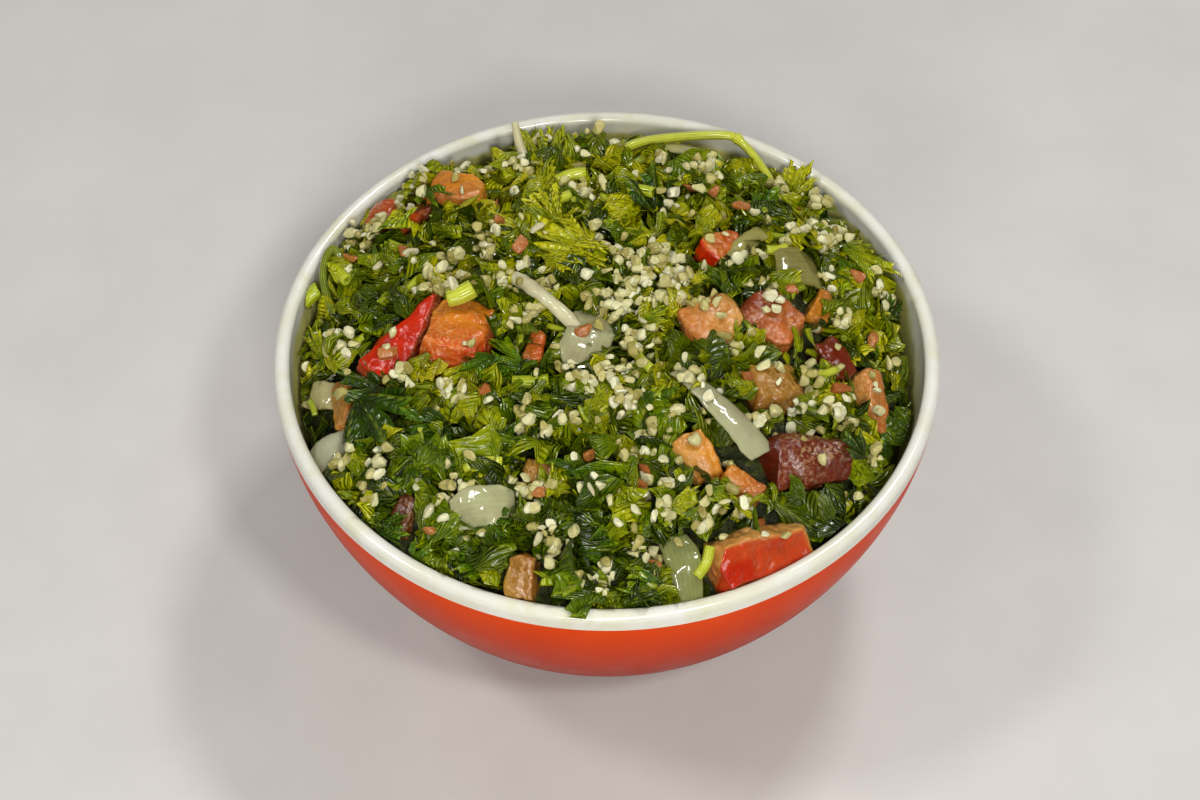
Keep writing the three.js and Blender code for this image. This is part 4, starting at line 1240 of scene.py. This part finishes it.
# Single grains that lie on tomatoes and onions
RESTING = [
    (-43.6, 34.4), (-34.2, 41.4), (-42.8, 44), (34.6, 0.4), (35.8, -1.6), (21.6, -0.6), (24.2, -3.8),
    (40.6, -33.4), (44.8, -36.2), (32, -55), (36.4, -53.4), (-45.6, -6), (-46.8, -9.4), (-2.2, -6),
    (57, -9), (58.2, -16), (49.6, -5), (25.8, 20.6), (-55.4, -14), (-56.4, -19), (20.2, 0.8), (22.8, 1.2),
    (20.8, -2.4), (23.6, -1), (18.6, -0.4), (36.8, 0.2), (35, 1.4), (33.6, -2.8), (14.8, -17.2),
    (16.6, -19.4), (18.4, -18.4), (17.6, -21.6), (15.6, -20.4), (19.8, -22.6), (33, -16), (36.2, -19.4),
    (49.8, -9.6), (57.8, -12.4), (-32.6, 0.6), (-40.8, 37.2), (14.6, -39.4), (17.8, -35.6),
]


def grain_places(toppings, leaves):
    """Where grains lie: in clusters, some of them on top of others, and singly, with few on the toppings."""
    middles = [(x, y, 0.8 * spread) for x, y, spread, number in CLUSTERS for _ in range(number)]
    cx, cy = scattered(RANDOM_CLUSTERS, 0.94)
    sizes = rng.integers(4, 13, RANDOM_CLUSTERS)
    middles += [(cx[i], cy[i], 1.3) for i in range(RANDOM_CLUSTERS) for _ in range(sizes[i])]
    middles = np.array(middles)
    x, y = (middles[:, :2] + rng.normal(size=(len(middles), 2)) * middles[:, 2:]).T
    up = rng.uniform(-0.1, 1.1, len(x))
    sx, sy = scattered(SINGLE_GRAINS, GRAIN_EDGE)
    x, y = np.concatenate([x, sx]), np.concatenate([y, sy])
    up = np.concatenate([up, np.zeros(SINGLE_GRAINS)])
    inside = np.hypot(x, y) < GRAIN_EDGE * edge_radius(np.arctan2(y, x))
    x, y, up = x[inside], y[inside], up[inside]
    chance = np.ones(len(x))
    for i in range(len(x)):
        if below(x[i], y[i], toppings, GRAIN_REACH)[0] is not None:
            chance[i] = ON_TOPPING
        elif below(x[i], y[i], leaves, GRAIN_REACH)[0] is not None:
            chance[i] = ON_LEAF
    keep = rng.uniform(size=len(x)) < chance
    resting = np.array(RESTING).T
    x, y = (np.concatenate([a[keep], b]) for a, b in ((x, resting[0]), (y, resting[1])))
    return x, y, np.concatenate([np.where(chance < 1, 0.2, up)[keep], np.full(len(RESTING), 0.6)])


# Bits of tomato too small to be solids of their own: where they lie
TOMATO_BITS = [
    (-42.3, 43.4), (-44.2, 18.8), (-58.3, 24.6), (-57.1, 21.3), (18.3, 35.8), (23.7, 35.6), (29.2, 29.9),
    (40.3, 5.6), (-3.6, -38.3), (31.7, -49.5), (9.6, -58.9), (-19, 17.4), (57.1, 1.5), (29, -19.4),
    (6.7, -43.9), (-13.8, -48.1), (12, 45), (-24, 36), (50, -16), (-36, -52),
]


# ---------------- the scene

make_camera()
make_lights()
corners = [(x * FLOOR_HALF, y * FLOOR_HALF, 0) for x, y in ((-1, -1), (1, -1), (1, 1), (-1, 1))]
mesh_object("floor", corners, [[0, 1, 2, 3]], floor_material())

make_bowl()
make_core()
tomatoes = make_tomatoes()
onions = make_onions()
toppings = tree_of(tomatoes + onions)
spots = topping_spots()

dark_leaf, mid_leaf, light_leaf, whole_leaf = (leaf_material(*look) for look in LEAF_LOOKS)
stem_look = stem_material()
onion_look = onion_material("onion_white", (222, 218, 172), 0.05, 0.2)

make_stem(stem_look)
whole_leaves = make_whole_leaves(whole_leaf, spots)
make_loops(stem_look)
make_onion_strip(onion_look)

showing = tree_of(tomatoes + onions + whole_leaves[:len(NODE_LEAVES)])
open_leaves = tree_of(tomatoes + onions + whole_leaves)
# The lowest, darkest layer shows through the gaps in the upper ones: partly the leaves' own darker tones,
# partly painted shade deep in the heap.
scatter("parsley_dark", fragments(900, rings=5, length=(9, 15)), dark_leaf, toppings, spots,
        lift=(-2.4, 0.0), tilt=(0.1, 0.7), tone=(0.0, 0.9), open_gaps=False)
scatter("parsley_mid", fragments(900, rings=6, length=(6, 14)), mid_leaf, showing, spots,
        lift=(-1.0, 1.2), tilt=(0.1, 0.8), tone=(0.0, 1.0))
scatter("parsley_light", fragments(380, rings=6, length=(5, 12)), light_leaf, open_leaves, spots,
        lift=(0.0, 1.8), tilt=(0.1, 0.8), tone=(0.0, 1.0))
shreds = strip_shapes(rng.uniform(3.5, 9, SHRED_COUNT), rng.uniform(0.8, 2.4, SHRED_COUNT))
scatter("parsley_shreds", shreds, mid_leaf, open_leaves, spots,
        lift=(0.2, 1.8), tilt=(0.1, 0.9), tone=(0.0, 1.0))
vertices, data, quads = stalk_set(spots, toppings)
salad_piece("cut_stalks", vertices, quads, stem_look, data)

surface = tree_of([o for o in bpy.context.scene.objects if o.type == "MESH" and "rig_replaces" in o])
bits = tomato_material("tomato_bits_look", (172, 108, 48), (130, 66, 24), (150, 56, 18))
x, y = np.concatenate([scattered(8, 0.92), np.array(TOMATO_BITS).T], 1)
drop_chips("tomato_bits", x, y, -0.6, surface, bits,
           length=(3.2, 5.8), squash=(0.5, 0.9), tone=(0, 0.5))
x, y = scattered(24, 0.92)
drop_chips("onion_bits", x, y, 0, surface, onion_look,
           length=(2.5, 4.5), squash=(0.3, 0.7), tone=(0, 1), smooth=True)
x, y, up = grain_places(toppings, tree_of(whole_leaves))
drop_chips("bulgur_grains", x, y, up, surface, bulgur_material(),
           length=(1.8, 3.6), squash=(0.62, 1.0), tone=(0.1, 1.0))
